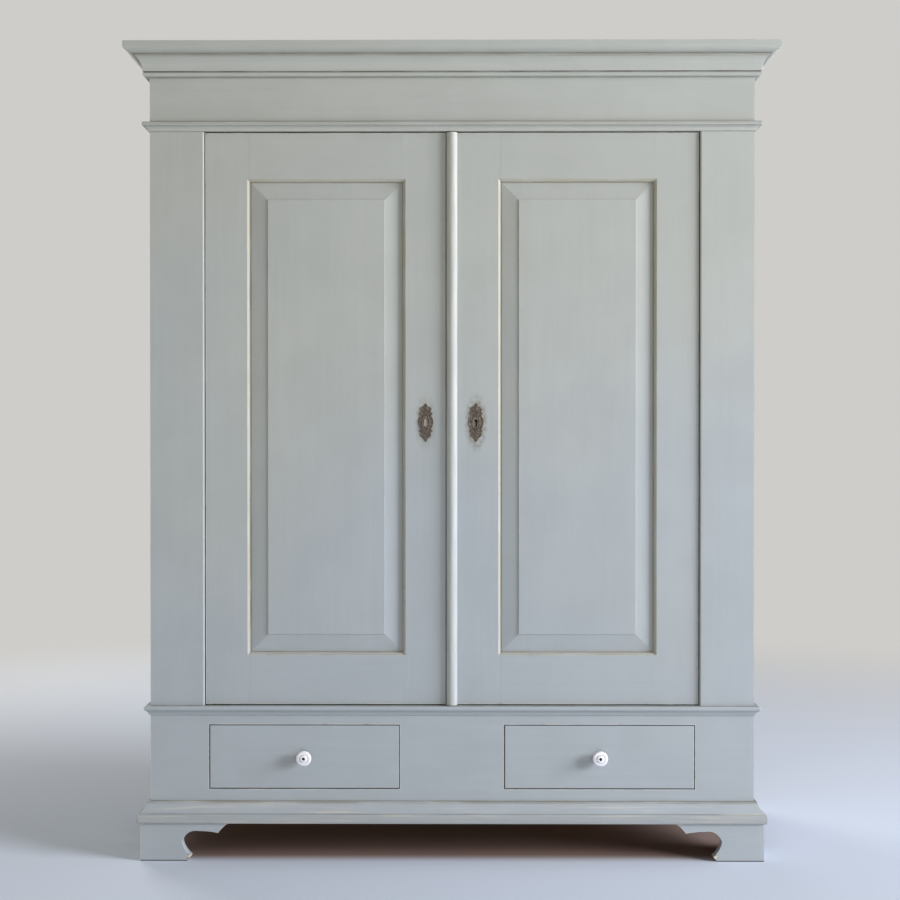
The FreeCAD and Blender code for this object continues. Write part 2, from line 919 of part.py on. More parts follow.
def make_doors():
    half_astragal = astragal_width / 2
    keyhole_x = right_escutcheon_inset
    bolt_channel = lock_bolt_space()

    hinge, meeting, bottom, top, panel = door_pieces(-half_astragal)
    keyhole = keyhole_cutter(keyhole_x, (door_face - escutcheon_thickness - overrun, door_back + overrun))
    save("right_hinge_stile", cut_for_pivots(hinge))
    save("right_meeting_stile", meeting.cut(keyhole))
    save("right_bottom_rail", bottom)
    save("right_top_rail", top)
    save("right_panel", panel)
    save("right_escutcheon", escutcheon_plate(keyhole_x).cut(keyhole))

    hinge, meeting, bottom, top, panel = door_pieces(half_astragal + meeting_gap)
    save("left_hinge_stile", mirrored(cut_for_pivots(hinge)))
    save("left_meeting_stile", mirrored(meeting))
    save("left_bottom_rail", mirrored(bottom))
    save("left_top_rail", mirrored(top))
    save("left_panel", mirrored(panel))
    slot_x = -left_escutcheon_inset
    slot = slot_cutter(slot_x, (door_face - escutcheon_thickness - overrun, door_face + overrun))
    save("left_escutcheon", escutcheon_plate(slot_x).cut(slot))

    low, high = door_z()
    quarter_round_share = math.tan(math.pi / 8) / 2
    bead_steps = [
        (-half_astragal, door_face),
        (-half_astragal, door_face - astragal_edge_height),
        (0, door_face - astragal_projection, quarter_round_share),
        (half_astragal, door_face - astragal_edge_height, quarter_round_share),
        (half_astragal, door_face),
    ]
    foot = low - astragal_drop
    bead = outline(bead_steps, lambda x, y: FreeCAD.Vector(x, y, foot))
    save("astragal", bead.extrude(FreeCAD.Vector(0, 0, high - foot)))

    lock_left = lock_edge_setback - half_astragal
    lock_case = block(
        (lock_left, lock_left + lock_case_length),
        (door_back, door_back + lock_case_thickness),
        grown((escutcheon_level, escutcheon_level), lock_case_height / 2),
    )
    key_well = keyhole_cutter(keyhole_x, (door_back - overrun, door_back + lock_case_thickness / 2))
    save("lock_case", lock_case.cut([bolt_channel, key_well]))
    save("lock_bolt", lock_bolt())
    save("lock_keep", lock_keep())


def lock_bolt_box(x_range, play):
    middle = door_back + lock_case_thickness / 2
    return block(
        x_range,
        grown((middle, middle), lock_bolt_thickness / 2 + play),
        grown((escutcheon_level, escutcheon_level), lock_bolt_height / 2 + play),
    )


def lock_bolt_x():
    tip = lock_edge_setback - astragal_width / 2 - lock_bolt_proud
    return (tip, tip + lock_bolt_length)


def lock_bolt():
    return lock_bolt_box(lock_bolt_x(), 0)


def lock_bolt_space():
    low, high = lock_bolt_x()
    return lock_bolt_box((low - overrun, high + slide_clearance), slide_clearance)


def lock_keep():
    """An open-ended box on the left door that takes the thrown bolt."""
    edge = -astragal_width / 2 - meeting_gap - keep_edge_setback
    shell = block(
        (edge - keep_length, edge),
        (door_back, door_back + lock_case_thickness),
        grown((escutcheon_level, escutcheon_level), lock_bolt_height / 2 + keep_wall),
    )
    return shell.cut(lock_bolt_box((edge - keep_length + keep_wall, edge + overrun), slide_clearance))


def make_bolts():
    """A sliding bolt at the top and one at the bottom of the left door, with their plates and staples."""
    plates = []
    middle = (deck_top + stop_bottom) / 2
    for name, upper in (("left_bottom_bolt", False), ("left_top_bolt", True)):
        tip = stop_bottom - bolt_end_gap
        bar = block(
            grown((bolt_x(), bolt_x()), bolt_width / 2),
            bolt_y_range(),
            (tip - bolt_length, tip),
        )
        bar_middle = tip - bolt_length / 2
        rear = bolt_y_range()[1]
        knob = round_bar(
            bolt_knob_diameter,
            (bolt_x(), rear, bar_middle),
            (bolt_x(), rear + bolt_knob_length, bar_middle),
        )
        bar = bar.fuse(knob)
        plate_z = grown((bar_middle, bar_middle), bolt_plate_height / 2)
        fitting = block(
            grown((bolt_x(), bolt_x()), bolt_plate_width / 2),
            (door_back, door_back + bolt_plate_thickness),
            plate_z,
        )
        staple_x = grown((bolt_x(), bolt_x()), bolt_width / 2 + slide_clearance + bolt_staple_wall)
        staple_y = (door_back, rear + slide_clearance + bolt_staple_wall)
        for staple_low in (plate_z[0] + bolt_staple_end, plate_z[1] - bolt_staple_end - bolt_staple_height):
            fitting = fitting.fuse(block(staple_x, staple_y, (staple_low, staple_low + bolt_staple_height)))
        channel = block(
            grown((bolt_x(), bolt_x()), bolt_width / 2 + slide_clearance),
            grown(bolt_y_range(), slide_clearance),
            grown(plate_z, overrun),
        )
        fitting = fitting.cut(channel)
        if not upper:
            bar = bar.mirror(FreeCAD.Vector(0, 0, middle), FreeCAD.Vector(0, 0, 1))
            fitting = fitting.mirror(FreeCAD.Vector(0, 0, middle), FreeCAD.Vector(0, 0, 1))
        save(name, bar)
        plates.append(fitting)
    save("left_bolt_plates", *plates)


# Drawers, drawn for the right-hand side and mirrored for the left
def dovetail_row(z_range, y_narrow, y_wide, x_range):
    """Tails along the end of a board, wider at their ends than where they leave it."""
    pitch = (z_range[1] - z_range[0]) / dovetail_count
    tails = []
    for number in range(dovetail_count):
        centre = z_range[0] + pitch * (number + 0.5)
        wide = pitch * dovetail_wide_share / 2
        narrow = pitch * dovetail_narrow_share / 2
        steps = [
            (y_narrow, centre - narrow),
            (y_wide, centre - wide),
            (y_wide, centre + wide),
            (y_narrow, centre + narrow),
        ]
        face = outline(steps, lambda y, z: FreeCAD.Vector(x_range[0], y, z))
        tails.append(face.extrude(FreeCAD.Vector(x_range[1] - x_range[0], 0, 0)))
    return tails


def turned_in_flats(steps, x, z):
    """A form turned about the knob's screw through (out, forward) steps, its round made of narrow flats."""
    rings = []
    for out, forward in steps:
        turns = [2 * math.pi * number / knob_flat_count for number in range(knob_flat_count)]
        rings.append([
            FreeCAD.Vector(x + out * math.cos(turn), face_y - forward, z + out * math.sin(turn))
            for turn in turns
        ])
    faces = []
    for ring, following in zip(rings, rings[1:] + rings[:1]):
        for number in range(knob_flat_count):
            corners = [ring[number - 1], ring[number], following[number], following[number - 1]]
            faces.append(Part.Face(Part.makePolygon(corners + corners[:1])))
    return Part.Solid(Part.Shell(faces))


def knob_turning(x, z):
    """A glazed knob: foot, neck, rounded rim, and a face with a ring groove round its boss."""
    radius = knob_diameter / 2
    head_seat = knob_length - screw_head_height - screw_sink
    steps = [
        (knob_bore / 2, 0),
        (0.58 * radius, 0),
        (0.56 * radius, 0.12 * knob_length),
        (0.43 * radius, 0.26 * knob_length),
        (0.50 * radius, 0.44 * knob_length),
        (0.86 * radius, 0.57 * knob_length),
        (0.98 * radius, 0.66 * knob_length),
        (radius, 0.74 * knob_length),
        (0.95 * radius, 0.83 * knob_length),
        (0.83 * radius, 0.89 * knob_length),
        (0.62 * radius, 0.93 * knob_length),
        (0.56 * radius, 0.90 * knob_length),
        (0.48 * radius, 0.96 * knob_length),
        (screw_head_diameter / 2, knob_length),
        (screw_head_diameter / 2, head_seat),
        (knob_bore / 2, head_seat),
    ]
    return turned_in_flats(steps, x, z)


def knob_screw(x, z):
    head_front = face_y - knob_length + screw_sink
    shank = round_bar(screw_diameter, (x, head_front, z), (x, face_y + screw_bite, z))
    round_head = round_bar(
        screw_head_diameter - 2 * screw_clearance,
        (x, head_front, z),
        (x, head_front + screw_head_height, z),
    )
    return shank.fuse(round_head)


def make_drawers():
    x_range = grown((drawer_inner, drawer_outer), -drawer_gap)
    front_z = grown((drawer_bottom, drawer_top), -drawer_gap)
    side_z = (drawer_bottom + drawer_seat_gap, drawer_bottom + drawer_seat_gap + drawer_side_height)
    shoulder = face_y + drawer_front_thickness
    rear = face_y + drawer_depth
    rear_shoulder = rear - drawer_back_thickness
    board_z = (side_z[0] + drawer_bottom_lift, side_z[0] + drawer_bottom_lift + drawer_bottom_thickness)
    back_z = (board_z[1], side_z[1] - drawer_back_drop)
    bottom_board = block(
        grown(x_range, drawer_groove_depth - drawer_side_thickness),
        (shoulder - drawer_groove_depth, rear),
        board_z,
    )

    sides = []
    for edge, inward in ((x_range[0], 1), (x_range[1], -1)):
        board_x = (edge, edge + inward * drawer_side_thickness)
        side = block(board_x, (shoulder, rear_shoulder), side_z)
        tails = dovetail_row(grown(side_z, -drawer_bottom_lift), shoulder, face_y + drawer_lap, board_x)
        tails += dovetail_row(back_z, rear_shoulder, rear, board_x)
        sides.append(side.fuse(tails).cut(bottom_board))

    front = block(x_range, (face_y, shoulder), front_z)
    front_edges = [edge for edge in front.Edges if edge.BoundBox.YMax < face_y + drawer_front_round]
    front = front.makeFillet(drawer_front_round, front_edges)
    screw_hole = round_bar(
        screw_diameter,
        (drawer_centre, face_y - overrun, (drawer_bottom + drawer_top) / 2),
        (drawer_centre, face_y + screw_bite, (drawer_bottom + drawer_top) / 2),
    )
    front = front.cut(sides).cut(bottom_board).cut(screw_hole)
    back = block(x_range, (rear_shoulder, rear), back_z).cut(sides)
    knob_z = (drawer_bottom + drawer_top) / 2
    knob = knob_turning(drawer_centre, knob_z)
    screw = knob_screw(drawer_centre, knob_z)
    for drawer, turn in (("right_drawer", lambda piece: piece), ("left_drawer", mirrored)):
        save(drawer + "_front", turn(front))
        save(drawer + "_sides", *[turn(side) for side in sides])
        save(drawer + "_back", turn(back))
        save(drawer + "_bottom", turn(bottom_board))
        save(drawer + "_knob", turn(knob))
        save(drawer + "_knob_screw", turn(screw))


os.makedirs("parts", exist_ok=True)
make_sides()
make_back()
make_top()
make_front_frame()
make_head_rail()
save("cleats", *make_deck(), *make_shelf())
make_hanging_rail()
make_drawer_carriage()
make_feet()
save("cornice_cap", *mitred_lengths(cornice_cap_section()))
save("cornice_bed_moulding", *mitred_lengths(cornice_bed_section()))
save("neck_moulding", *mitred_lengths(neck_section()))
save("waist_moulding", *mitred_lengths(waist_section()))
save("base_moulding", *mitred_lengths(base_section()))
make_pivots()
make_doors()
make_bolts()
make_drawers()
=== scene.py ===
import math

import bmesh
import bpy
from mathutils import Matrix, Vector


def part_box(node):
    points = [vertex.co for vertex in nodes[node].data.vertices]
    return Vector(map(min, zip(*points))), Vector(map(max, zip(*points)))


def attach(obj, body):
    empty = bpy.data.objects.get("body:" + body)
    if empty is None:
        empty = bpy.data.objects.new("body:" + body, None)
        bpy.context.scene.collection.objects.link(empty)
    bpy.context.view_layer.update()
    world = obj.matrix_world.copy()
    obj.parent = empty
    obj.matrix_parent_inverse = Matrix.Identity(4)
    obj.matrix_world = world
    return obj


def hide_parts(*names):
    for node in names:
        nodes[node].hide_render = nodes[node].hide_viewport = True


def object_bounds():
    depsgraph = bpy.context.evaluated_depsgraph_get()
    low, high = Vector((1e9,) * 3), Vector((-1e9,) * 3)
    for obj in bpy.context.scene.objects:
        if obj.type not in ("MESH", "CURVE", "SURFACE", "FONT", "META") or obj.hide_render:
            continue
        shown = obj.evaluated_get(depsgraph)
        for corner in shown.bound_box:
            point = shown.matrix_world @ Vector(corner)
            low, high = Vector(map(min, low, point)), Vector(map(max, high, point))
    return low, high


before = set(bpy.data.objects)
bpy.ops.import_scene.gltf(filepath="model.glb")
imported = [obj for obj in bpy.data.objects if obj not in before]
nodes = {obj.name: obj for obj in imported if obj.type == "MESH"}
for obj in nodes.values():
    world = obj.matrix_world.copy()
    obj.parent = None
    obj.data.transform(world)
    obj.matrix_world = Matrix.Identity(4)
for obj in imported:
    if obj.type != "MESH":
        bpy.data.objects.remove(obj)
cad_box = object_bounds()

# A painted two-door wardrobe, dressed around its construction. Lengths are in metres.

# Colours, as linear values
# The coat high up and low down: the paint's own tone with painted light, warmer above and cooler and darker below
coat_high_with_warm_light = (0.378, 0.390, 0.355)
coat_low_with_cool_shade = (0.336, 0.371, 0.397)
worn_colour = (0.690, 0.675, 0.600)
bead_colour = (0.600, 0.590, 0.510)
# Olive-brown grime, also the tint of painted shade in corners and crevices
grime_and_shade_colour = (0.170, 0.145, 0.095)
# Near black for crevices and joints: dirt and painted shade
crevice_dirt_and_shade_colour = (0.085, 0.070, 0.048)
yellowed_colour = (0.355, 0.325, 0.240)
bare_edge_colour = (0.165, 0.112, 0.072)
scuff_pale = (0.560, 0.525, 0.455)
scuff_brown = (0.230, 0.175, 0.125)
pine_light = (0.500, 0.310, 0.150)
pine_dark = (0.260, 0.135, 0.055)
pine_knot = (0.085, 0.040, 0.018)
iron_colour = (0.035, 0.030, 0.028)
iron_rust = (0.120, 0.050, 0.025)
brass_colour = (0.084, 0.068, 0.056)
brass_rubbed = (0.300, 0.255, 0.205)
# Near black: grime in the brass's hollows, and the painted contact shadow at the feet
black_grime_and_shadow = (0.014, 0.010, 0.008)
porcelain_colour = (0.730, 0.735, 0.790)
floor_colour = (0.670, 0.724, 0.815)
backdrop_colour = (0.620, 0.610, 0.590)
# Painted shade on the floor under the case, brown as bare boards
floor_shade_under_colour = (0.290, 0.200, 0.170)
floor_shade_deep_colour = (0.340, 0.255, 0.225)
room_light_colour = (1.0, 0.975, 0.92)
room_light_strength = 0.180

# Camera
camera_place = (0.0171, -3.7832, 1.0332)
camera_tilt = math.radians(-0.41)
camera_turn = math.radians(0.35)
camera_lens = 57.65
camera_sensor = 36.0

# Lamps: where each stands, what it points at, its width and height, its power and its colour
lamps = {
    "window": ((5.9, -2.50, 2.15), (0.0, -0.25, 1.0), (3.0, 2.2), 610.0, (0.97, 0.99, 1.07)),
    "room": ((0.2, -4.1, 0.35), (0.0, -0.25, 1.3), (3.0, 0.6), 37.5, (1.07, 1.0, 0.86)),
    "wall": ((-4.6, -1.9, 1.3), (0.0, -0.25, 1.1), (2.4, 2.0), 21.0, (1.06, 0.98, 0.80)),
    "behind": ((-2.8, 3.8, 2.6), (0.0, 0.2, 1.0), (2.4, 2.0), 110.0, (1.0, 0.99, 0.96)),
}

# Floor: how far it reaches, where it fades into the backdrop, and the rim round the painted shade under the case
floor_reach = 14.0
floor_fade = (1.3, 4.2)
floor_rim = 0.05

# A front foot's broken toe: how far from its corner, how far above the floor, and where the break fades out
foot_toe_length = 0.124
foot_toe_level = 0.0115
foot_toe_break = (0.0085, 0.0105)

# Where marks fade in or out: from a joint or a nail's middle, outward of a panel's opening or a drawer's,
# inward of a panel's left side, in from the doors' or the frame's outer edges, up from a foot or down from a head
board_joint = (0.0016, 0.0007)
nail_head = (0.0026, 0.0034)
sticking_rub = (0.0058, 0.0082)
yellow_start = (-0.0046, -0.0012)
yellow_end = (0.0058, 0.0078)
drawer_rim = (0.0020, 0.0055)
dirt_start = (-0.0020, -0.0008)
dirt_end = (0.0018, 0.0046)
door_rim = 0.0028
frame_corner = 0.0025
# Painted contact shadow: the heights over which the dark band at each foot's base fades out
foot_contact_shadow = (0.0012, 0.0034)
plinth_foot = (0.020, 0.024)
cap_rub = (0.0075, 0.0035)
cap_joint = (0.0042, 0.0022)

# How far past a limit a mark's own face may lie: a moulding's head, a side's inner face, a back or a sticking
head_slack = 0.0005
inner_slack = 0.0006
outer_slack = 0.0010

# Levels of the nails in the back boards, from their feet and from their heads
nail_foot, nail_top = 0.022, 0.018

# Reaches of the shading that finds edges, crevices and corners
edge_radius = 0.0022
edge_reach = 0.008
crevice_reach = 0.005
corner_reach = 0.016
pine_corner_reach = 0.02
moulding_softness = 0.0010
plinth_softness = 0.0014
bead_softness = 0.0008

# Axes by number
along_x, along_y, along_z = 0, 1, 2

# Pieces by finish and by the way their grain runs
door_stiles = ["left_hinge_stile", "left_meeting_stile", "right_hinge_stile", "right_meeting_stile"]
door_rails = ["left_top_rail", "left_bottom_rail", "right_top_rail", "right_bottom_rail"]
front_frame = ["frieze_board", "waist_rail", "drawer_uprights", "base_rail"]
mouldings = ["cornice_cap", "cornice_bed_moulding", "neck_moulding", "waist_moulding"]
feet = ["foot_front_left", "foot_front_right", "feet_rear"]
bare_level = [
    "head_rail", "hanging_rail", "rail_sockets", "cleats",
    "left_drawer_back", "left_drawer_bottom", "right_drawer_back", "right_drawer_bottom",
]
bare_deep = ["drawer_runners", "left_drawer_sides", "right_drawer_sides"]
iron_pieces = [
    "pivot_pins_lower", "pivot_pins_upper", "left_pivot_sockets", "right_pivot_sockets",
    "lock_case", "lock_keep", "lock_bolt", "left_bolt_plates", "left_top_bolt", "left_bottom_bolt",
    "left_drawer_knob_screw", "right_drawer_knob_screw",
]

# Boarded pieces: the axis of the grain, the number of boards and the axis across them
boarded = {
    "back_boards": (along_z, 8, along_x),
    "top_boards": (along_x, 3, along_y),
    "deck_boards": (along_x, 3, along_y),
    "hat_shelf": (along_x, 2, along_y),
}

# Edges that hands and time have rounded: the pieces by how far
edge_rounds = {
    0.0004: door_rails,
    0.0005: ["left_hinge_stile", "left_meeting_stile", "right_hinge_stile"],
    0.0006: ["left_panel", "right_panel", "left_bolt_plates", "left_top_bolt", "left_bottom_bolt", "lock_bolt"],
    0.0008: ["back_boards", "top_boards", "deck_boards", "lock_keep"],
    0.0010: ["side_left", "side_right", "lock_case"],
    0.0012: feet,
    0.0015: ["hat_shelf"],
}
edge_segments = 2
sharp_angle = math.radians(25)
weld_distance = 0.00002


# Short calls that build the nodes of a material or a world
class Tree:
    def __init__(self, owner):
        owner.use_nodes = True
        self.owner = owner
        self.nodes = owner.node_tree.nodes
        self.links = owner.node_tree.links
        self.nodes.clear()

    def add(self, kind, values=(), **settings):
        """A node with settings, and values or links for its inputs by name or number."""
        made = self.nodes.new("ShaderNode" + kind)
        for key, value in settings.items():
            setattr(made, key, value)
        for key, value in dict(values).items():
            if isinstance(value, bpy.types.NodeSocket):
                self.links.new(value, made.inputs[key])
            else:
                made.inputs[key].default_value = value
        return made

    def math(self, operation, first, second=0.0, clamp=False):
        return self.add("Math", {0: first, 1: second}, operation=operation, use_clamp=clamp).outputs[0]

    def times(self, *values):
        """The product of values or links."""
        made = values[0]
        for value in values[1:]:
            made = self.math("MULTIPLY", made, value)
        return made

    def off(self, value, middle):
        """How far a value is from a middle one, either way."""
        return self.math("ABSOLUTE", self.math("SUBTRACT", value, middle))

    def ramp(self, value, low, high, to_low=0.0, to_high=1.0):
        values = {"Value": value, 1: low, 2: high, 3: to_low, 4: to_high}
        return self.add("MapRange", values, interpolation_type="SMOOTHSTEP").outputs[0]

    def mix(self, factor, first, second):
        made = self.add("Mix", data_type="RGBA")
        for index, value in ((0, factor), (6, first), (7, second)):
            if isinstance(value, bpy.types.NodeSocket):
                self.links.new(value, made.inputs[index])
            elif index:
                made.inputs[index].default_value = (*value, 1.0)
            else:
                made.inputs[index].default_value = value
        return made.outputs[2]

    def scale_colour(self, colour, amount):
        grey = self.add("CombineColor", {0: amount, 1: amount, 2: amount})
        made = self.add("Mix", data_type="RGBA", blend_type="MULTIPLY")
        made.inputs[0].default_value = 1.0
        self.links.new(colour, made.inputs[6])
        self.links.new(grey.outputs[0], made.inputs[7])
        return made.outputs[2]

    def noise(self, coordinates, scale, detail=2.0, roughness=0.5, distortion=0.0):
        values = {
            "Vector": coordinates, "Scale": scale, "Detail": detail,
            "Roughness": roughness, "Distortion": distortion,
        }
        return self.add("TexNoise", values).outputs[0]

    def stretched(self, coordinates, axis, across, along):
        """Coordinates for streaks that run along one axis."""
        scale = [across, across, across]
        scale[axis] = along
        return self.add("Mapping", {"Vector": coordinates, "Scale": scale}).outputs[0]

    def streaks(self, coordinates, axis, across, along, detail, roughness=0.5, distortion=0.0):
        """Noise in streaks along one axis, so many to a metre across and along it."""
        return self.noise(self.stretched(coordinates, axis, across, along), 1.0, detail, roughness, distortion)

    def openness(self, reach, samples, own=False, inside=False):
        """One in the open, and less the more a point is shut in within a reach."""
        settings = {"samples": samples, "only_local": own, "inside": inside}
        return self.add("AmbientOcclusion", {"Distance": reach}, **settings).outputs["AO"]

    def bump(self, height, strength, distance):
        return self.add("Bump", {"Height": height, "Strength": strength, "Distance": distance})

    def seen(self):
        """One for the camera's rays, and for those that a gloss or a glass passes on."""
        rays = self.add("LightPath").outputs
        straight = self.math("MAXIMUM", rays["Is Camera Ray"], rays["Is Glossy Ray"])
        return self.math("MAXIMUM", straight, rays["Is Transmission Ray"])

    def finish(self, shader, output="OutputMaterial"):
        self.add(output, {"Surface": shader})
        return self.owner


def new_tree(name):
    return Tree(bpy.data.materials.new(name))


def object_place(tree):
    return tree.add("TexCoord").outputs["Object"]


def split(tree, vector):
    return tree.add("SeparateXYZ", {0: vector}).outputs


def moulding_place(tree):
    """Coordinates whose X runs along a moulding, round the mitres."""
    x, y, z = split(tree, object_place(tree))
    corner_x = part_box("frieze_board")[1].x
    corner_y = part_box("frieze_board")[0].y
    beside = tree.math("SUBTRACT", tree.math("ABSOLUTE", x), corner_x)
    before = tree.math("SUBTRACT", corner_y, y)
    on_side = tree.math("GREATER_THAN", beside, before)
    on_front = tree.math("SUBTRACT", 1.0, on_side)
    along = tree.math("ADD", tree.times(x, on_front), tree.times(y, on_side))
    across = tree.math("ADD", tree.times(y, on_front), tree.times(x, on_side))
    return tree.add("CombineXYZ", {0: along, 1: across, 2: z}).outputs[0]


# Bare aged pine, for the inside and wherever the coat is gone
def boarding(tree, place, name, count, across):
    """Which of a node's boards a point lies on, how far along it, and the open joints between them."""
    low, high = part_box(name)
    width = (high[across] - low[across]) / count
    along = tree.math("DIVIDE", tree.math("SUBTRACT", split(tree, place)[across], low[across]), width)
    number = tree.math("FLOOR", along)
    aside = tree.off(tree.math("SUBTRACT", along, number), 0.5)
    joint = tree.ramp(aside, 0.5 - board_joint[0] / width, 0.5 - board_joint[1] / width)
    return along, number, joint


def nail_heads(tree, place, name, count, across, along):
    """Two nails in each board at three levels, on the outer face."""
    low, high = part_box(name)
    _, y, z = split(tree, place)
    half_board = (high[across] - low[across]) / count / 2
    beside = tree.math("SUBTRACT", tree.math("FRACT", tree.times(along, 2.0)), 0.5)
    beside = tree.times(beside, half_board)
    up = tree.off(z, low.z + nail_foot)
    for level in ((low.z + high.z) / 2, high.z - nail_top):
        up = tree.math("MINIMUM", up, tree.off(z, level))
    away = tree.add("CombineXYZ", {0: beside, 1: up}).outputs[0]
    away = tree.add("VectorMath", {0: away}, operation="LENGTH").outputs["Value"]
    outer_face = tree.math("GREATER_THAN", y, high.y - outer_slack)
    return tree.times(tree.ramp(away, *nail_head, 1.0, 0.0), outer_face)


def pine_colours(tree, place, axis, board):
    """The wood's colour, its fibre and its rings. Board is a number of its own for each board."""
    shift = tree.add("CombineXYZ", {
        0: tree.times(board, 9.0), 1: tree.times(board, 5.0), 2: tree.times(board, 17.0),
    }).outputs[0]
    place = tree.add("VectorMath", {0: place, 1: shift}, operation="ADD").outputs[0]
    flow = tree.streaks(place, axis, 17.0, 0.62, 2.0, 0.45, 0.25)
    rings = tree.ramp(tree.math("SINE", tree.times(flow, 78.0)), -0.6, 1.0)
    fibre = tree.streaks(place, axis, 900.0, 14.0, 2.0)
    tone = tree.math("ADD", tree.times(rings, 0.42), tree.times(fibre, 0.34))
    tone = tree.math("ADD", tone, tree.times(tree.math("SUBTRACT", board, 0.5), 0.30))
    colour = tree.mix(tone, pine_light, pine_dark)
    knots = tree.add("TexVoronoi", {"Vector": tree.stretched(place, axis, 7.0, 2.6), "Scale": 1.0})
    colour = tree.mix(tree.ramp(knots.outputs["Distance"], 0.05, 0.13, 1.0, 0.0), colour, pine_knot)
    blotch = tree.noise(place, 5.0, 3.0)
    return tree.scale_colour(colour, tree.ramp(blotch, 0.3, 0.7, 0.80, 1.06)), fibre, rings


def own_number(tree):
    """A random number for each separate solid of a node."""
    return tree.add("NewGeometry").outputs["Random Per Island"]


def pine_material(name, axis, boards=None, nailed=False):
    """Boards names a node, its number of boards and the axis across them."""
    tree = new_tree(name)
    place = object_place(tree)
    if boards:
        along, number, joint = boarding(tree, place, *boards)
        board = tree.add("TexWhiteNoise", {"W": number}, noise_dimensions="1D").outputs["Value"]
    else:
        board = own_number(tree)
    colour, fibre, rings = pine_colours(tree, place, axis, board)
    # Painted shade and grime: the inner corners of the bare wood go darker the more shut in they are
    corner_shade_and_grime = tree.ramp(tree.openness(pine_corner_reach, 4), 0.25, 0.85, 0.6, 0.0)
    colour = tree.mix(corner_shade_and_grime, colour, grime_and_shade_colour)
    height = tree.math("ADD", tree.times(fibre, 0.6), tree.times(rings, 0.4))
    if boards:
        colour = tree.mix(tree.times(joint, 0.88), colour, pine_knot)
        height = tree.math("SUBTRACT", height, tree.times(joint, 2.0))
    if nailed:
        colour = tree.mix(nail_heads(tree, place, *boards, along), colour, iron_rust)
    return tree.finish(tree.add("BsdfPrincipled", {
        "Base Color": colour, "Roughness": 0.72, "Specular IOR Level": 0.25,
        "Normal": tree.bump(height, 0.35, 0.0006).outputs[0],
    }).outputs[0])


# Masks over the paint: each is one where its mark shows
def bevelled_edges(tree, place):
    """Along a solid's own outer edges, wherever it is."""
    smoothed = tree.add("Bevel", {"Radius": edge_radius}, samples=6).outputs[0]
    plain = tree.add("NewGeometry").outputs["Normal"]
    agreement = tree.add("VectorMath", {0: smoothed, 1: plain}, operation="DOT_PRODUCT").outputs["Value"]
    turned = tree.ramp(agreement, 0.86, 0.995, 1.0, 0.0)
    return tree.times(turned, tree.ramp(tree.openness(edge_reach, 8, own=True), 0.86, 0.97))


def beyond_rectangle(tree, place, low, high):
    """How far a point lies outside an upright rectangle that shows on both sides of the middle."""
    x, _, z = split(tree, place)
    across = tree.off(tree.math("ABSOLUTE", x), (low[0] + high[0]) / 2)
    across = tree.math("SUBTRACT", across, (high[0] - low[0]) / 2)
    up = tree.off(z, (low[1] + high[1]) / 2)
    up = tree.math("SUBTRACT", up, (high[1] - low[1]) / 2)
    return tree.math("MAXIMUM", across, up)


def frame_edges(tree, place):
    """Beside the drawer openings, and fainter along the outer corners of the front frame."""
    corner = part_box("frieze_board")[1].x
    x = split(tree, place)[0]
    outer = tree.ramp(tree.math("ABSOLUTE", x), corner - frame_corner, corner, 0.0, 0.45)
    low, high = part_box("right_drawer_front")
    outside = beyond_rectangle(tree, place, (low.x, low.z), (high.x, high.z))
    return tree.math("MAXIMUM", outer, tree.ramp(outside, *drawer_rim, 0.75, 0.0))


def panel_opening():
    """Where the right panel shows in its frame: its inner and lower limits, and its outer and upper ones."""
    inner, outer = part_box("right_meeting_stile")[1].x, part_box("right_hinge_stile")[0].x
    return (inner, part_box("right_bottom_rail")[1].z), (outer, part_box("right_top_rail")[0].z)


def door_edges(tree, place):
    """Round the panel openings and the doors themselves, and not along the flush joints."""
    x, _, z = split(tree, place)
    opening = beyond_rectangle(tree, place, *panel_opening())
    moulded = tree.ramp(opening, *sticking_rub, 0.22, 0.0)
    low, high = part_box("right_hinge_stile")
    middle = (low.z + high.z) / 2
    across = tree.math("SUBTRACT", tree.math("ABSOLUTE", x), high.x)
    up = tree.math("SUBTRACT", tree.off(z, middle), high.z - middle)
    rim = tree.ramp(tree.math("MAXIMUM", across, up), -door_rim, 0.0, 0.0, 0.7)
    return tree.math("MAXIMUM", moulded, rim)


# Marks that only some pieces bear: each takes the colour so far and gives it back marked
def scuffed(tree, place, colour):
    """Long pale and brown rubs, as on a plinth that feet and brooms have knocked."""
    pale = tree.ramp(tree.streaks(place, along_x, 95.0, 3.4, 5.0, 0.68), 0.50, 0.66)
    colour = tree.mix(tree.times(pale, 0.55), colour, scuff_pale)
    brown = tree.noise(tree.stretched(place, along_x, 240.0, 6.0), 1.7, 4.0, 0.7)
    patch = tree.ramp(tree.noise(place, 5.0, 2.0), 0.42, 0.60)
    colour = tree.mix(tree.times(tree.ramp(brown, 0.60, 0.70), patch, 0.42), colour, scuff_brown)
    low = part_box("base_moulding")[0]
    level = split(tree, place)[2]
    dust = tree.ramp(level, low.z + plinth_foot[0], low.z + plinth_foot[1], 0.16, 0.0)
    return tree.mix(dust, colour, grime_and_shade_colour)


# Dirty lines on the mouldings: how far down each reaches from the head, and how strong it is
dirty_heads = {
    "cornice_bed_moulding": (0.0080, 0.45),
    "neck_moulding": (0.0100, 0.26),
    "base_moulding": (0.0070, 0.55),
}


def lined(tree, place, colour):
    """A dirty line along the head of some mouldings."""
    z = split(tree, place)[2]
    rub = tree.ramp(tree.streaks(place, along_x, 40.0, 7.0, 3.0, 0.6), 0.32, 0.62, 0.35, 1.0)
    for name, (width, strength) in dirty_heads.items():
        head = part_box(name)[1].z
        band = tree.times(tree.ramp(z, head - width, head - 0.4 * width, 0.0, strength),
                          tree.math("LESS_THAN", z, head + head_slack))
        colour = tree.mix(tree.times(band, rub), colour, grime_and_shade_colour)
    return colour


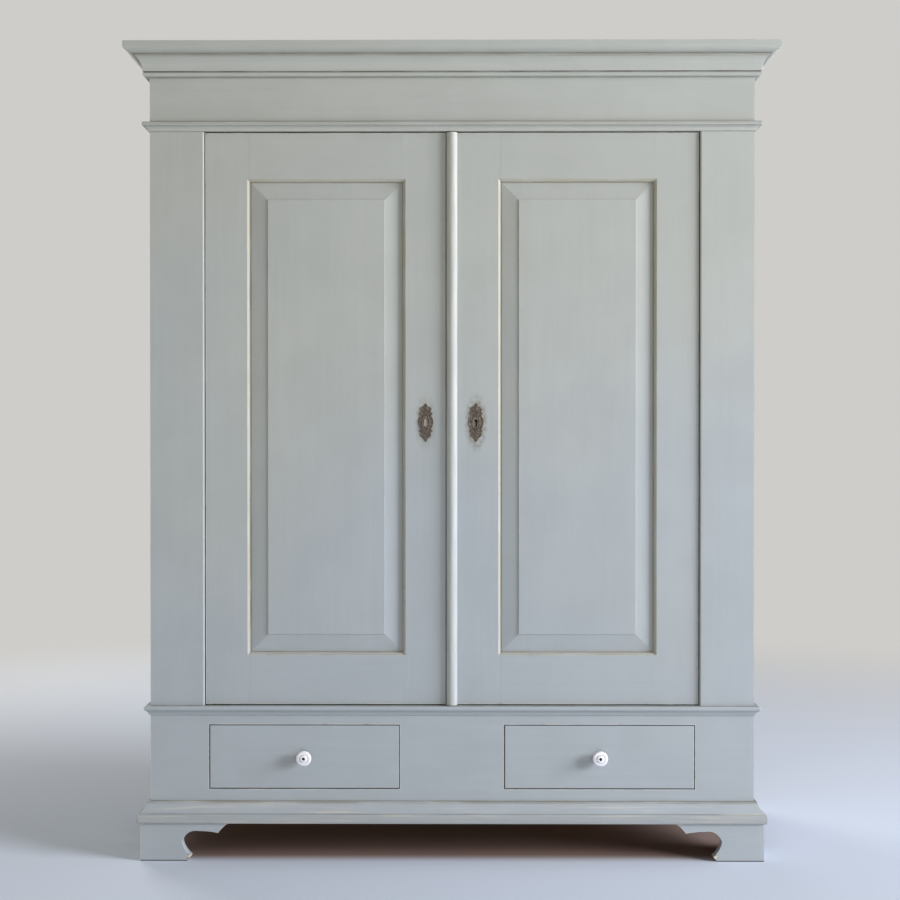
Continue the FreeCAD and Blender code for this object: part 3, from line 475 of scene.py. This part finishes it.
def standing(tree, place, colour):
    """Painted contact shadow at the floor, with broken toes that show the wood."""
    x, y, z = split(tree, place)
    low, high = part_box("foot_front_right")
    toe = tree.add("CombineXYZ", {0: high.x - foot_toe_length, 1: low.y, 2: foot_toe_level}).outputs[0]
    across = tree.add("CombineXYZ", {0: tree.math("ABSOLUTE", x), 1: y, 2: z}).outputs[0]
    away = tree.add("VectorMath", {0: across, 1: toe}, operation="DISTANCE").outputs["Value"]
    rough = tree.times(tree.math("SUBTRACT", tree.noise(place, 120.0, 4.0, 0.7), 0.5), 0.024)
    chipped = tree.ramp(tree.math("ADD", away, rough), *foot_toe_break, 1.0, 0.0)
    wood = tree.mix(tree.ramp(tree.noise(place, 210.0, 3.0), 0.40, 0.60), scuff_pale, bare_edge_colour)
    colour = tree.mix(chipped, colour, wood)
    # Painted contact shadow along each foot's lowest few millimetres
    return tree.mix(tree.ramp(z, *foot_contact_shadow, 0.92, 0.0), colour, black_grime_and_shadow)


def handled(tree, place, colour):
    """Grime that fingers left round the two plates."""
    x, _, z = split(tree, place)
    smudges = []
    for hand, strength in (("left", 0.34), ("right", 0.72)):
        low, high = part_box(hand + "_escutcheon")
        across = tree.math("DIVIDE", tree.math("SUBTRACT", x, (low.x + high.x) / 2), high.x - low.x)
        up = tree.math("DIVIDE", tree.math("SUBTRACT", z, (low.z + high.z) / 2), high.z - low.z)
        square = tree.math("ADD", tree.times(across, across), tree.times(up, up))
        smudges.append(tree.ramp(square, 0.20, 0.72, strength, 0.0))
    cloud = tree.ramp(tree.noise(place, 95.0, 4.0, 0.65), 0.38, 0.62, 0.20, 1.0)
    return tree.mix(tree.times(tree.math("MAXIMUM", *smudges), cloud), colour, grime_and_shade_colour)


def rooted(tree, place, colour):
    """Yellowed paint all round each panel, and dirt down its left side, in the angle with its frame."""
    (inner, sill), (outer, head) = panel_opening()
    opening = beyond_rectangle(tree, place, (inner, sill), (outer, head))
    around = tree.times(tree.ramp(opening, *yellow_start), tree.ramp(opening, *yellow_end, 1.0, 0.0))
    patch = tree.ramp(tree.noise(place, 9.0, 3.0), 0.32, 0.62, 0.26, 0.56)
    colour = tree.mix(tree.times(around, patch), colour, yellowed_colour)
    x, _, z = split(tree, place)
    on_right = tree.math("GREATER_THAN", x, 0.0)
    inward = tree.math("SUBTRACT", tree.math("ADD", x, outer), tree.times(on_right, inner + outer))
    line = tree.times(tree.ramp(inward, *dirt_start), tree.ramp(inward, *dirt_end, 1.0, 0.0))
    up = tree.off(z, (sill + head) / 2)
    line = tree.times(line, tree.math("LESS_THAN", up, (head - sill) / 2 + outer_slack))
    cloud = tree.ramp(tree.streaks(place, along_z, 60.0, 7.0, 3.0, 0.6), 0.34, 0.60, 0.36, 0.72)
    return tree.mix(tree.times(line, cloud), colour, grime_and_shade_colour)


def paler(tree, place, colour):
    """Paint that hands have rubbed pale along the whole piece."""
    cloud = tree.streaks(place, along_z, 120.0, 5.0, 4.0, 0.6)
    return tree.mix(tree.ramp(cloud, 0.30, 0.70, 0.05, 0.42), colour, bead_colour)


def capped(tree, place, colour):
    """A dark joint where a stile meets the moulding, and rubs just below it."""
    z = split(tree, place)[2]
    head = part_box("stile_right")[1].z
    rub = tree.streaks(place, along_x, 30.0, 9.0, 3.0, 0.6)
    pale = tree.times(tree.ramp(z, head - cap_rub[0], head - cap_rub[1], 0.0, 0.45),
                      tree.ramp(rub, 0.46, 0.60))
    colour = tree.mix(pale, colour, scuff_pale)
    dark = tree.times(tree.ramp(z, head - cap_joint[0], head - cap_joint[1], 0.0, 0.80),
                      tree.ramp(rub, 0.34, 0.54, 0.45, 1.0))
    return tree.mix(dark, colour, crevice_dirt_and_shade_colour)


def bare_inside(tree, place, colour):
    """Bare wood on the inner faces of the side boards."""
    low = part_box("side_right")[0]
    inner = tree.math("LESS_THAN", tree.math("ABSOLUTE", split(tree, place)[0]), low.x + inner_slack)
    wood = pine_colours(tree, place, along_z, own_number(tree))[0]
    return tree.mix(inner, colour, wood)


# Chalky paint over the pine
def coat(tree, place, own_place, axis, streaks):
    """The paint's colour with painted light, warmer high up and cooler and darker low down, with soft clouds and
    faint brush marks.
    """
    mottle = tree.noise(place, 1.6, 3.0)
    cloud = tree.noise(own_place, 7.0, 4.0, 0.6)
    brush = tree.streaks(own_place, axis, 260.0, 5.0, 4.0, 0.62)
    wide_brush = tree.streaks(own_place, axis, 60.0, 2.4, 3.0)
    hairline = tree.ramp(tree.streaks(own_place, axis, 420.0, 3.2, 2.0, 0.5, 0.3), 0.66, 0.74)
    height = split(tree, object_place(tree))[2]
    drift = tree.math("ADD", height, tree.times(tree.math("SUBTRACT", mottle, 0.5), 1.6))
    # Painted light: the coat blends by height from the cooler, darker low tone to the warmer high one
    colour = tree.mix(tree.ramp(drift, 0.2, 1.9), coat_low_with_cool_shade, coat_high_with_warm_light)
    tone = tree.ramp(cloud, 0.3, 0.7, 0.975, 1.025)
    for marks, depth in ((wide_brush, 0.012 * streaks), (brush, 0.017 * streaks)):
        tone = tree.times(tone, tree.ramp(marks, 0.27, 0.73, 1 - depth, 1 + depth))
    tone = tree.times(tone, tree.ramp(hairline, 0.0, 1.0, 1.0, 0.968))
    relief = tree.math("ADD", tree.times(brush, 0.5), tree.times(wide_brush, 0.35))
    relief = tree.math("SUBTRACT", relief, tree.times(hairline, 0.25))
    return tree.scale_colour(colour, tone), brush, relief


def soiled_and_shaded(tree, place, colour, amount):
    """Dirt and painted shade deep in the crevices, a faint tint of dirt and painted shade round them, and dust on
    the ledges.
    """
    patch = tree.ramp(tree.noise(place, 13.0, 3.0), 0.30, 0.64, 0.30 * amount, amount)
    near = tree.openness(crevice_reach, 8)
    deep = tree.times(tree.ramp(near, 0.26, 0.74, 0.80, 0.0), patch)
    # Painted shade: the most shut-in crevices and gaps go dark whatever the dirt amount
    deep = tree.math("MAXIMUM", deep, tree.ramp(near, 0.12, 0.34, 0.92, 0.0))
    # Painted shade and dirt: a wider tint round corners, by how shut in they are
    wide = tree.times(tree.ramp(tree.openness(corner_reach, 6), 0.30, 0.78, 0.26, 0.0), patch)
    up = split(tree, tree.add("NewGeometry").outputs["Normal"])[2]
    ledge = tree.times(tree.ramp(up, 0.80, 0.98, 0.0, 0.42), patch)
    colour = tree.mix(tree.math("MAXIMUM", wide, ledge), colour, grime_and_shade_colour)
    return tree.mix(deep, colour, crevice_dirt_and_shade_colour)


def paint_material(
    name, axis, edges_of=bevelled_edges, marks=(), place_of=object_place,
    streaks=1.0, wear=1.0, softened=0.0, dirt=1.0,
):
    tree = new_tree(name)
    place = place_of(tree)
    shift = tree.add("ObjectInfo").outputs["Random"]
    shift = tree.add("CombineXYZ", {0: tree.times(shift, 7.0), 1: tree.times(shift, 13.0), 2: shift}).outputs[0]
    own_place = tree.add("VectorMath", {0: place, 1: shift}, operation="ADD").outputs[0]
    colour, brush, relief = coat(tree, place, own_place, axis, streaks)
    # Dirt and painted shade in the crevices and corners; the dirt value scales most of both
    colour = soiled_and_shaded(tree, place, colour, dirt)

    # Edges rubbed pale, and down to the wood in places
    edge = edges_of(tree, object_place(tree))
    rub = tree.streaks(own_place, axis, 60.0, 12.0, 4.0, 0.65)
    rubbed = tree.times(edge, tree.ramp(rub, 0.36, 0.62, 0.15, 1.0))
    rubbed = tree.math("MULTIPLY", rubbed, 0.85 * wear, clamp=True)
    colour = tree.mix(rubbed, colour, worn_colour)
    chips = tree.noise(own_place, 52.0, 4.0, 0.7)
    chipped = tree.times(edge, tree.ramp(chips, 0.580, 0.630))
    chipped = tree.math("MULTIPLY", chipped, 0.75 * wear, clamp=True)
    colour = tree.mix(chipped, colour, bare_edge_colour)
    for mark in marks:
        colour = mark(tree, object_place(tree), colour)

    relief = tree.math("SUBTRACT", relief, tree.times(chipped, 0.9))
    bump = tree.bump(relief, 0.35, 0.0007)
    if softened:
        rounded = tree.add("Bevel", {"Radius": softened}, samples=6).outputs[0]
        tree.links.new(rounded, bump.inputs["Normal"])
    return tree.finish(tree.add("BsdfPrincipled", {
        "Base Color": colour, "Roughness": tree.ramp(brush, 0.3, 0.7, 0.58, 0.72),
        "Specular IOR Level": 0.36, "Normal": bump.outputs[0],
    }).outputs[0])


# Metals and glaze
def iron_material():
    tree = new_tree("wrought_iron")
    place = object_place(tree)
    cloud = tree.noise(place, 60.0, 4.0, 0.65)
    pits = tree.noise(place, 420.0, 2.0)
    colour = tree.mix(tree.ramp(cloud, 0.48, 0.68, 0.0, 0.8), iron_colour, iron_rust)
    height = tree.math("ADD", tree.times(cloud, 0.5), tree.times(pits, 0.5))
    return tree.finish(tree.add("BsdfPrincipled", {
        "Base Color": colour, "Roughness": tree.ramp(pits, 0.3, 0.7, 0.45, 0.75), "Metallic": 0.7,
        "Normal": tree.bump(height, 0.5, 0.0004).outputs[0],
    }).outputs[0])


def brass_material():
    """Cast brass gone brown, rubbed on its high lines and black in the low ones."""
    tree = new_tree("aged_brass")
    place = object_place(tree)
    cloud = tree.noise(place, 130.0, 4.0, 0.6)
    high = tree.openness(0.0012, 6, own=True, inside=True)
    low = tree.openness(0.0030, 6, own=True)
    rubbed = tree.times(tree.ramp(high, 0.25, 0.60, 1.0, 0.0), 0.75)
    grimy = tree.ramp(low, 0.50, 0.96, 1.0, 0.0)
    colour = tree.mix(tree.ramp(cloud, 0.48, 0.68, 0.0, 0.50), brass_colour, brass_rubbed)
    colour = tree.mix(rubbed, colour, brass_rubbed)
    spots = tree.ramp(tree.noise(place, 330.0, 3.0, 0.6), 0.50, 0.60, 0.0, 0.75)
    colour = tree.mix(tree.math("MAXIMUM", grimy, spots), colour, black_grime_and_shadow)
    return tree.finish(tree.add("BsdfPrincipled", {
        "Base Color": colour, "Roughness": tree.ramp(cloud, 0.3, 0.7, 0.38, 0.62), "Metallic": 0.55,
        "Normal": tree.bump(cloud, 0.35, 0.0003).outputs[0],
    }).outputs[0])


def porcelain_material():
    tree = new_tree("porcelain")
    place = object_place(tree)
    specks = tree.ramp(tree.noise(place, 700.0, 2.0), 0.70, 0.78)
    cloud = tree.ramp(tree.noise(place, 45.0, 3.0), 0.3, 0.7, 0.965, 1.0)
    colour = tree.mix(tree.times(specks, 0.35), porcelain_colour, grime_and_shade_colour)
    # Painted shade and grime in the knob's own hollows, by how shut in they are
    corner_shade_and_grime = tree.ramp(tree.openness(0.004, 6, own=True), 0.30, 0.72, 0.65, 0.0)
    colour = tree.scale_colour(tree.mix(corner_shade_and_grime, colour, grime_and_shade_colour), cloud)
    return tree.finish(tree.add("BsdfPrincipled", {
        "Base Color": colour, "Roughness": 0.16, "Coat Weight": 0.6, "Coat Roughness": 0.05,
        "Normal": tree.bump(tree.noise(place, 90.0, 2.0), 0.12, 0.0004).outputs[0],
    }).outputs[0])


def dress(names, material):
    for name in names:
        slots = nodes[name].data.materials
        slots.clear()
        slots.append(material)


def round_edges(name, width):
    """Joins the split corners of a construction mesh and rounds its edges a little."""
    weld = nodes[name].modifiers.new("joined", "WELD")
    weld.merge_threshold = weld_distance
    bevel = nodes[name].modifiers.new("rounded", "BEVEL")
    bevel.width = width
    bevel.segments = edge_segments
    bevel.limit_method = "ANGLE"
    bevel.angle_limit = sharp_angle
    bevel.harden_normals = False
    bevel.use_clamp_overlap = True


dress(["left_panel", "right_panel"], paint_material("painted_upright", along_z, marks=[rooted], wear=0.6))
dress(["stile_left", "stile_right"], paint_material("painted_stile", along_z, marks=[capped], wear=0.6))
dress(door_stiles, paint_material("painted_door_upright", along_z, door_edges, [handled, rooted]))
dress(door_rails, paint_material("painted_door_level", along_x, door_edges, [rooted]))
# The bead's low dirt value also weakens the painted shade in its crevices
dress(["astragal"], paint_material(
    "painted_bead", along_z, marks=[paler], wear=0.5, softened=bead_softness, dirt=0.35))
dress(["left_drawer_front", "right_drawer_front"], paint_material("painted_level", along_x, wear=0.7))
dress(front_frame, paint_material("painted_frame", along_x, frame_edges, wear=0.6))
dress(mouldings, paint_material(
    "painted_moulding", along_x, marks=[lined], place_of=moulding_place,
    streaks=1.3, wear=0.6, softened=moulding_softness))
dress(["base_moulding"], paint_material(
    "painted_plinth", along_x, marks=[scuffed, lined], place_of=moulding_place,
    streaks=1.3, wear=0.7, softened=plinth_softness))
dress(feet, paint_material("painted_foot", along_x, marks=[standing]))
dress(["side_left", "side_right"], paint_material("painted_side", along_z, marks=[bare_inside]))
dress(bare_level, pine_material("bare_pine_level", along_x))
dress(bare_deep, pine_material("bare_pine_deep", along_y))
dress(iron_pieces, iron_material())
brass = brass_material()
porcelain = porcelain_material()
for name, (grain, count, across) in boarded.items():
    dress([name], pine_material("bare_pine_" + name, grain, (name, count, across), name == "back_boards"))

for width, names in edge_rounds.items():
    for name in names:
        round_edges(name, width)


# Turned and cast pieces
def smooth_line(points, steps):
    """Points on a curve through the given ones."""
    ends = [points[0], *points, points[-1]]
    made = []
    for index in range(1, len(points)):
        before, start, end, after = (Vector(ends[index + shift]) for shift in (-1, 0, 1, 2))
        for step in range(steps):
            share = step / steps
            made.append(0.5 * (
                2 * start + (end - before) * share
                + (2 * before - 5 * start + 4 * end - after) * share ** 2
                + (3 * start - before - 3 * end + after) * share ** 3
            ))
    made.append(Vector(points[-1]))
    return made


def piece_from_rings(name, rings, material, body, replaced):
    """A closed piece from rings of points, each joined to the next and the last to the first."""
    size = len(rings[0])
    points = [point for ring in rings for point in ring]
    faces = []
    for ring in range(len(rings)):
        after = (ring + 1) % len(rings)
        for step in range(size):
            right = (step + 1) % size
            faces.append((ring * size + step, ring * size + right, after * size + right, after * size + step))
    mesh = bpy.data.meshes.new(name)
    mesh.from_pydata(points, [], faces)
    shape = bmesh.new()
    shape.from_mesh(mesh)
    bmesh.ops.recalc_face_normals(shape, faces=shape.faces)
    shape.to_mesh(mesh)
    shape.free()
    mesh.polygons.foreach_set("use_smooth", [True] * len(mesh.polygons))
    mesh.materials.append(material)
    piece = bpy.data.objects.new(name, mesh)
    bpy.context.scene.collection.objects.link(piece)
    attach(piece, body)
    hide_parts(*replaced)


# A knob's outline as shares of its radius and length, from the back of its bore round to the front
knob_line_shares = (
    (0.54, 0.00), (0.56, 0.05), (0.55, 0.12), (0.46, 0.19), (0.43, 0.27), (0.46, 0.37), (0.55, 0.45),
    (0.74, 0.50), (0.90, 0.57), (0.98, 0.66), (1.00, 0.74), (0.98, 0.81), (0.92, 0.87), (0.82, 0.91),
    (0.70, 0.925), (0.63, 0.925), (0.585, 0.895), (0.545, 0.895), (0.50, 0.935), (0.44, 0.965),
    (0.34, 0.99), (0.25, 1.00), (0.205, 0.985), (0.19, 0.94),
)
knob_bore_share = 0.115
knob_seat_share = 0.871
knob_line_steps = 4
knob_turn_steps = 72


def make_knob(hand):
    node = hand + "_drawer_knob"
    low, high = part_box(node)
    radius = (high.x - low.x) / 2
    length = high.y - low.y
    x, z = (low.x + high.x) / 2, (low.z + high.z) / 2
    line = [Vector((knob_bore_share, 0.0)), *smooth_line(knob_line_shares, knob_line_steps)]
    line += [Vector((knob_line_shares[-1][0], knob_seat_share)), Vector((knob_bore_share, knob_seat_share))]
    rings = []
    for out, forward in line:
        ring = []
        for step in range(knob_turn_steps):
            turn = 2 * math.pi * step / knob_turn_steps
            ring.append((x + out * radius * math.cos(turn), high.y - forward * length,
                         z + out * radius * math.sin(turn)))
        rings.append(ring)
    piece_from_rings(hand + "_turned_knob", rings, porcelain, hand + "_drawer", [node])


# A plate's outline as shares of its half width and half height, from its top to its foot
plate_line_shares = (
    (0.00, 1.00), (0.13, 0.955), (0.19, 0.88), (0.38, 0.835), (0.62, 0.795), (0.77, 0.71), (0.66, 0.60),
    (0.70, 0.54), (0.87, 0.49), (0.84, 0.43), (0.67, 0.37), (0.87, 0.25), (1.00, 0.04), (0.90, -0.18),
    (0.69, -0.34), (0.86, -0.41), (0.84, -0.47), (0.65, -0.53), (0.72, -0.62), (0.64, -0.71),
    (0.40, -0.78), (0.22, -0.87), (0.12, -0.95), (0.00, -1.00),
)
plate_line_steps = 6
plate_line_points = 130
plate_wall = 0.0009
plate_bead = 0.0009
plate_bead_inset = 0.0012
plate_bead_width = 0.0007
plate_oval = (0.0090, 0.0185)
plate_rings = 20
plate_ring_spread = 1.25

# The plates' holes: widths, and levels of their tops and feet from the middle
slot_width, slot_top, slot_foot = 0.0056, 0.0095, -0.0095
keyhole_head, keyhole_width, keyhole_top, keyhole_foot = 0.0070, 0.0036, 0.0075, -0.0090


def resampled(line, count):
    """As many points, evenly spaced along a line."""
    lengths = [0.0]
    for first, second in zip(line, line[1:]):
        lengths.append(lengths[-1] + (second - first).length)
    made = []
    place = 0
    for step in range(count):
        wanted = lengths[-1] * step / (count - 1)
        while place < len(line) - 2 and lengths[place + 1] < wanted:
            place += 1
        span = lengths[place + 1] - lengths[place]
        share = (wanted - lengths[place]) / span if span else 0.0
        made.append(line[place].lerp(line[place + 1], share))
    return made


def both_sides(line):
    """A closed loop from its right half, which runs from top to foot."""
    left = [Vector((-point.x, point.y)) for point in reversed(line[1:-1])]
    return line + left


def arc(radius, centre, last, steps):
    """Points on a circle, from its top clockwise as far as an angle."""
    turns = (last * step / steps for step in range(steps + 1))
    return [Vector((radius * math.sin(turn), centre + radius * math.cos(turn))) for turn in turns]


def slot_line(width, top, foot):
    """The right half of a round-ended slot."""
    upper = arc(width / 2, top - width / 2, math.pi / 2, 8)
    lower = [Vector((point.x, top + foot - point.y)) for point in reversed(upper)]
    return upper + lower


def keyhole_line(head, width, top, foot):
    """The right half of a keyhole."""
    line = arc(head / 2, top - head / 2, math.pi - math.asin(width / head), 14)
    return line + [Vector((width / 2, foot)), Vector((0.0, foot))]


def plate_relief(across, up, rim, half_width, half_height):
    """How far the casting stands out: a bead at the rim, an oval ring and ribs in its leaves."""
    bead = math.exp(-((rim - plate_bead_inset) / plate_bead_width) ** 2)
    oval = math.hypot(across / plate_oval[0], up / plate_oval[1])
    ring = math.exp(-((oval - 1.0) / 0.10) ** 2)
    leaf = min(max((oval - 1.15) / 0.25, 0.0), 1.0)
    spread = 0.35 + 0.65 * abs(up) / half_height
    rib = 0.5 + 0.5 * math.cos(2 * math.pi * across / (half_width * 0.52 / spread))
    lobes = 0.5 + 0.5 * math.cos(2 * math.pi * abs(up) / (half_height * 0.27))
    carved = leaf * (0.55 * rib + 0.25 * lobes)
    return plate_wall + plate_bead * max(bead, 1.25 * ring, carved)


def make_plate(hand, hole_half):
    node = hand + "_escutcheon"
    low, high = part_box(node)
    half_width, half_height = (high.x - low.x) / 2, (high.z - low.z) / 2
    x, z = (low.x + high.x) / 2, (low.z + high.z) / 2
    half = smooth_line(plate_line_shares, plate_line_steps)
    half = [Vector((out * half_width, up * half_height)) for out, up in half]
    outline = both_sides(resampled(half, plate_line_points))
    hole = both_sides(resampled(hole_half, plate_line_points))
    rings = [[(x + point.x, high.y, z + point.y) for point in outline]]
    for number in range(plate_rings + 1):
        share = (number / plate_rings) ** plate_ring_spread
        ring = []
        for outer, inner in zip(outline, hole):
            point = outer.lerp(inner, share)
            height = plate_relief(point.x, point.y, (point - outer).length, half_width, half_height)
            ring.append((x + point.x, high.y - height, z + point.y))
        rings.append(ring)
    rings.append([(x + point.x, high.y, z + point.y) for point in hole])
    piece_from_rings(hand + "_cast_plate", rings, brass, hand + "_door", [node])


make_knob("left")
make_knob("right")
make_plate("left", slot_line(slot_width, slot_top, slot_foot))
make_plate("right", keyhole_line(keyhole_head, keyhole_width, keyhole_top, keyhole_foot))


# Floor, camera and light
def floor_material():
    """A pale stage with painted shade under the case, in the brown of bare boards. Far off it fades to the
    backdrop for the camera.
    """
    tree = new_tree("floor")
    place = object_place(tree)
    distance = tree.add("VectorMath", {0: place}, operation="LENGTH").outputs["Value"]
    low, high = cad_box
    x, y, _ = split(tree, place)
    inside_x = tree.ramp(tree.math("ABSOLUTE", x), high.x - 2 * floor_rim, high.x - floor_rim, 1.0, 0.0)
    middle = (low.y + high.y) / 2
    reach = (high.y - low.y) / 2
    inside_y = tree.ramp(tree.off(y, middle), reach - 1.9 * floor_rim, reach - 0.4 * floor_rim, 1.0, 0.0)
    # Painted shade under the case, from one brown at its front to another deeper in
    boards = tree.mix(tree.ramp(y, low.y + 2 * floor_rim, middle), floor_shade_under_colour, floor_shade_deep_colour)
    near_colour = tree.mix(tree.times(inside_x, inside_y), floor_colour, boards)
    near_shader = tree.add("BsdfDiffuse", {"Color": near_colour}).outputs[0]
    far_shader = tree.add("Emission", {"Color": (*backdrop_colour, 1.0), "Strength": 1.0}).outputs[0]
    far = tree.times(tree.ramp(distance, *floor_fade), tree.seen())
    return tree.finish(tree.add("MixShader", {0: far, 1: near_shader, 2: far_shader}).outputs[0])


def make_floor():
    mesh = bpy.data.meshes.new("floor")
    corners = [(floor_reach * x, floor_reach * y, 0) for x, y in ((-1, -1), (1, -1), (1, 1), (-1, 1))]
    mesh.from_pydata(corners, [], [(0, 1, 2, 3)])
    floor = bpy.data.objects.new("floor", mesh)
    bpy.context.scene.collection.objects.link(floor)
    mesh.materials.append(floor_material())


def make_camera():
    data = bpy.data.cameras.new("camera")
    data.lens = camera_lens
    data.sensor_width = camera_sensor
    camera = bpy.data.objects.new("camera", data)
    camera.location = camera_place
    camera.rotation_euler = (math.pi / 2 + camera_tilt, 0.0, camera_turn)
    bpy.context.scene.collection.objects.link(camera)
    bpy.context.scene.camera = camera


def make_lamp(name, place, target, size, power, colour):
    data = bpy.data.lights.new(name, "AREA")
    data.shape = "RECTANGLE"
    data.size, data.size_y = size
    data.energy = power
    data.color = colour
    lamp = bpy.data.objects.new(name, data)
    lamp.location = place
    lamp.rotation_euler = (Vector(target) - Vector(place)).to_track_quat("-Z", "Y").to_euler()
    bpy.context.scene.collection.objects.link(lamp)


def make_world():
    """The plain backdrop that the camera sees, and a soft light from all round."""
    tree = Tree(bpy.data.worlds.new("studio"))
    light, backdrop = (
        tree.add("Background", {"Color": (*colour, 1.0), "Strength": strength}).outputs[0]
        for colour, strength in ((room_light_colour, room_light_strength), (backdrop_colour, 1.0))
    )
    mixed = tree.add("MixShader", {0: tree.seen(), 1: light, 2: backdrop}).outputs[0]
    bpy.context.scene.world = tree.finish(mixed, "OutputWorld")


make_floor()
make_camera()
for name, settings in lamps.items():
    make_lamp(name, *settings)
make_world()
bpy.context.scene.view_settings.view_transform = "Standard"
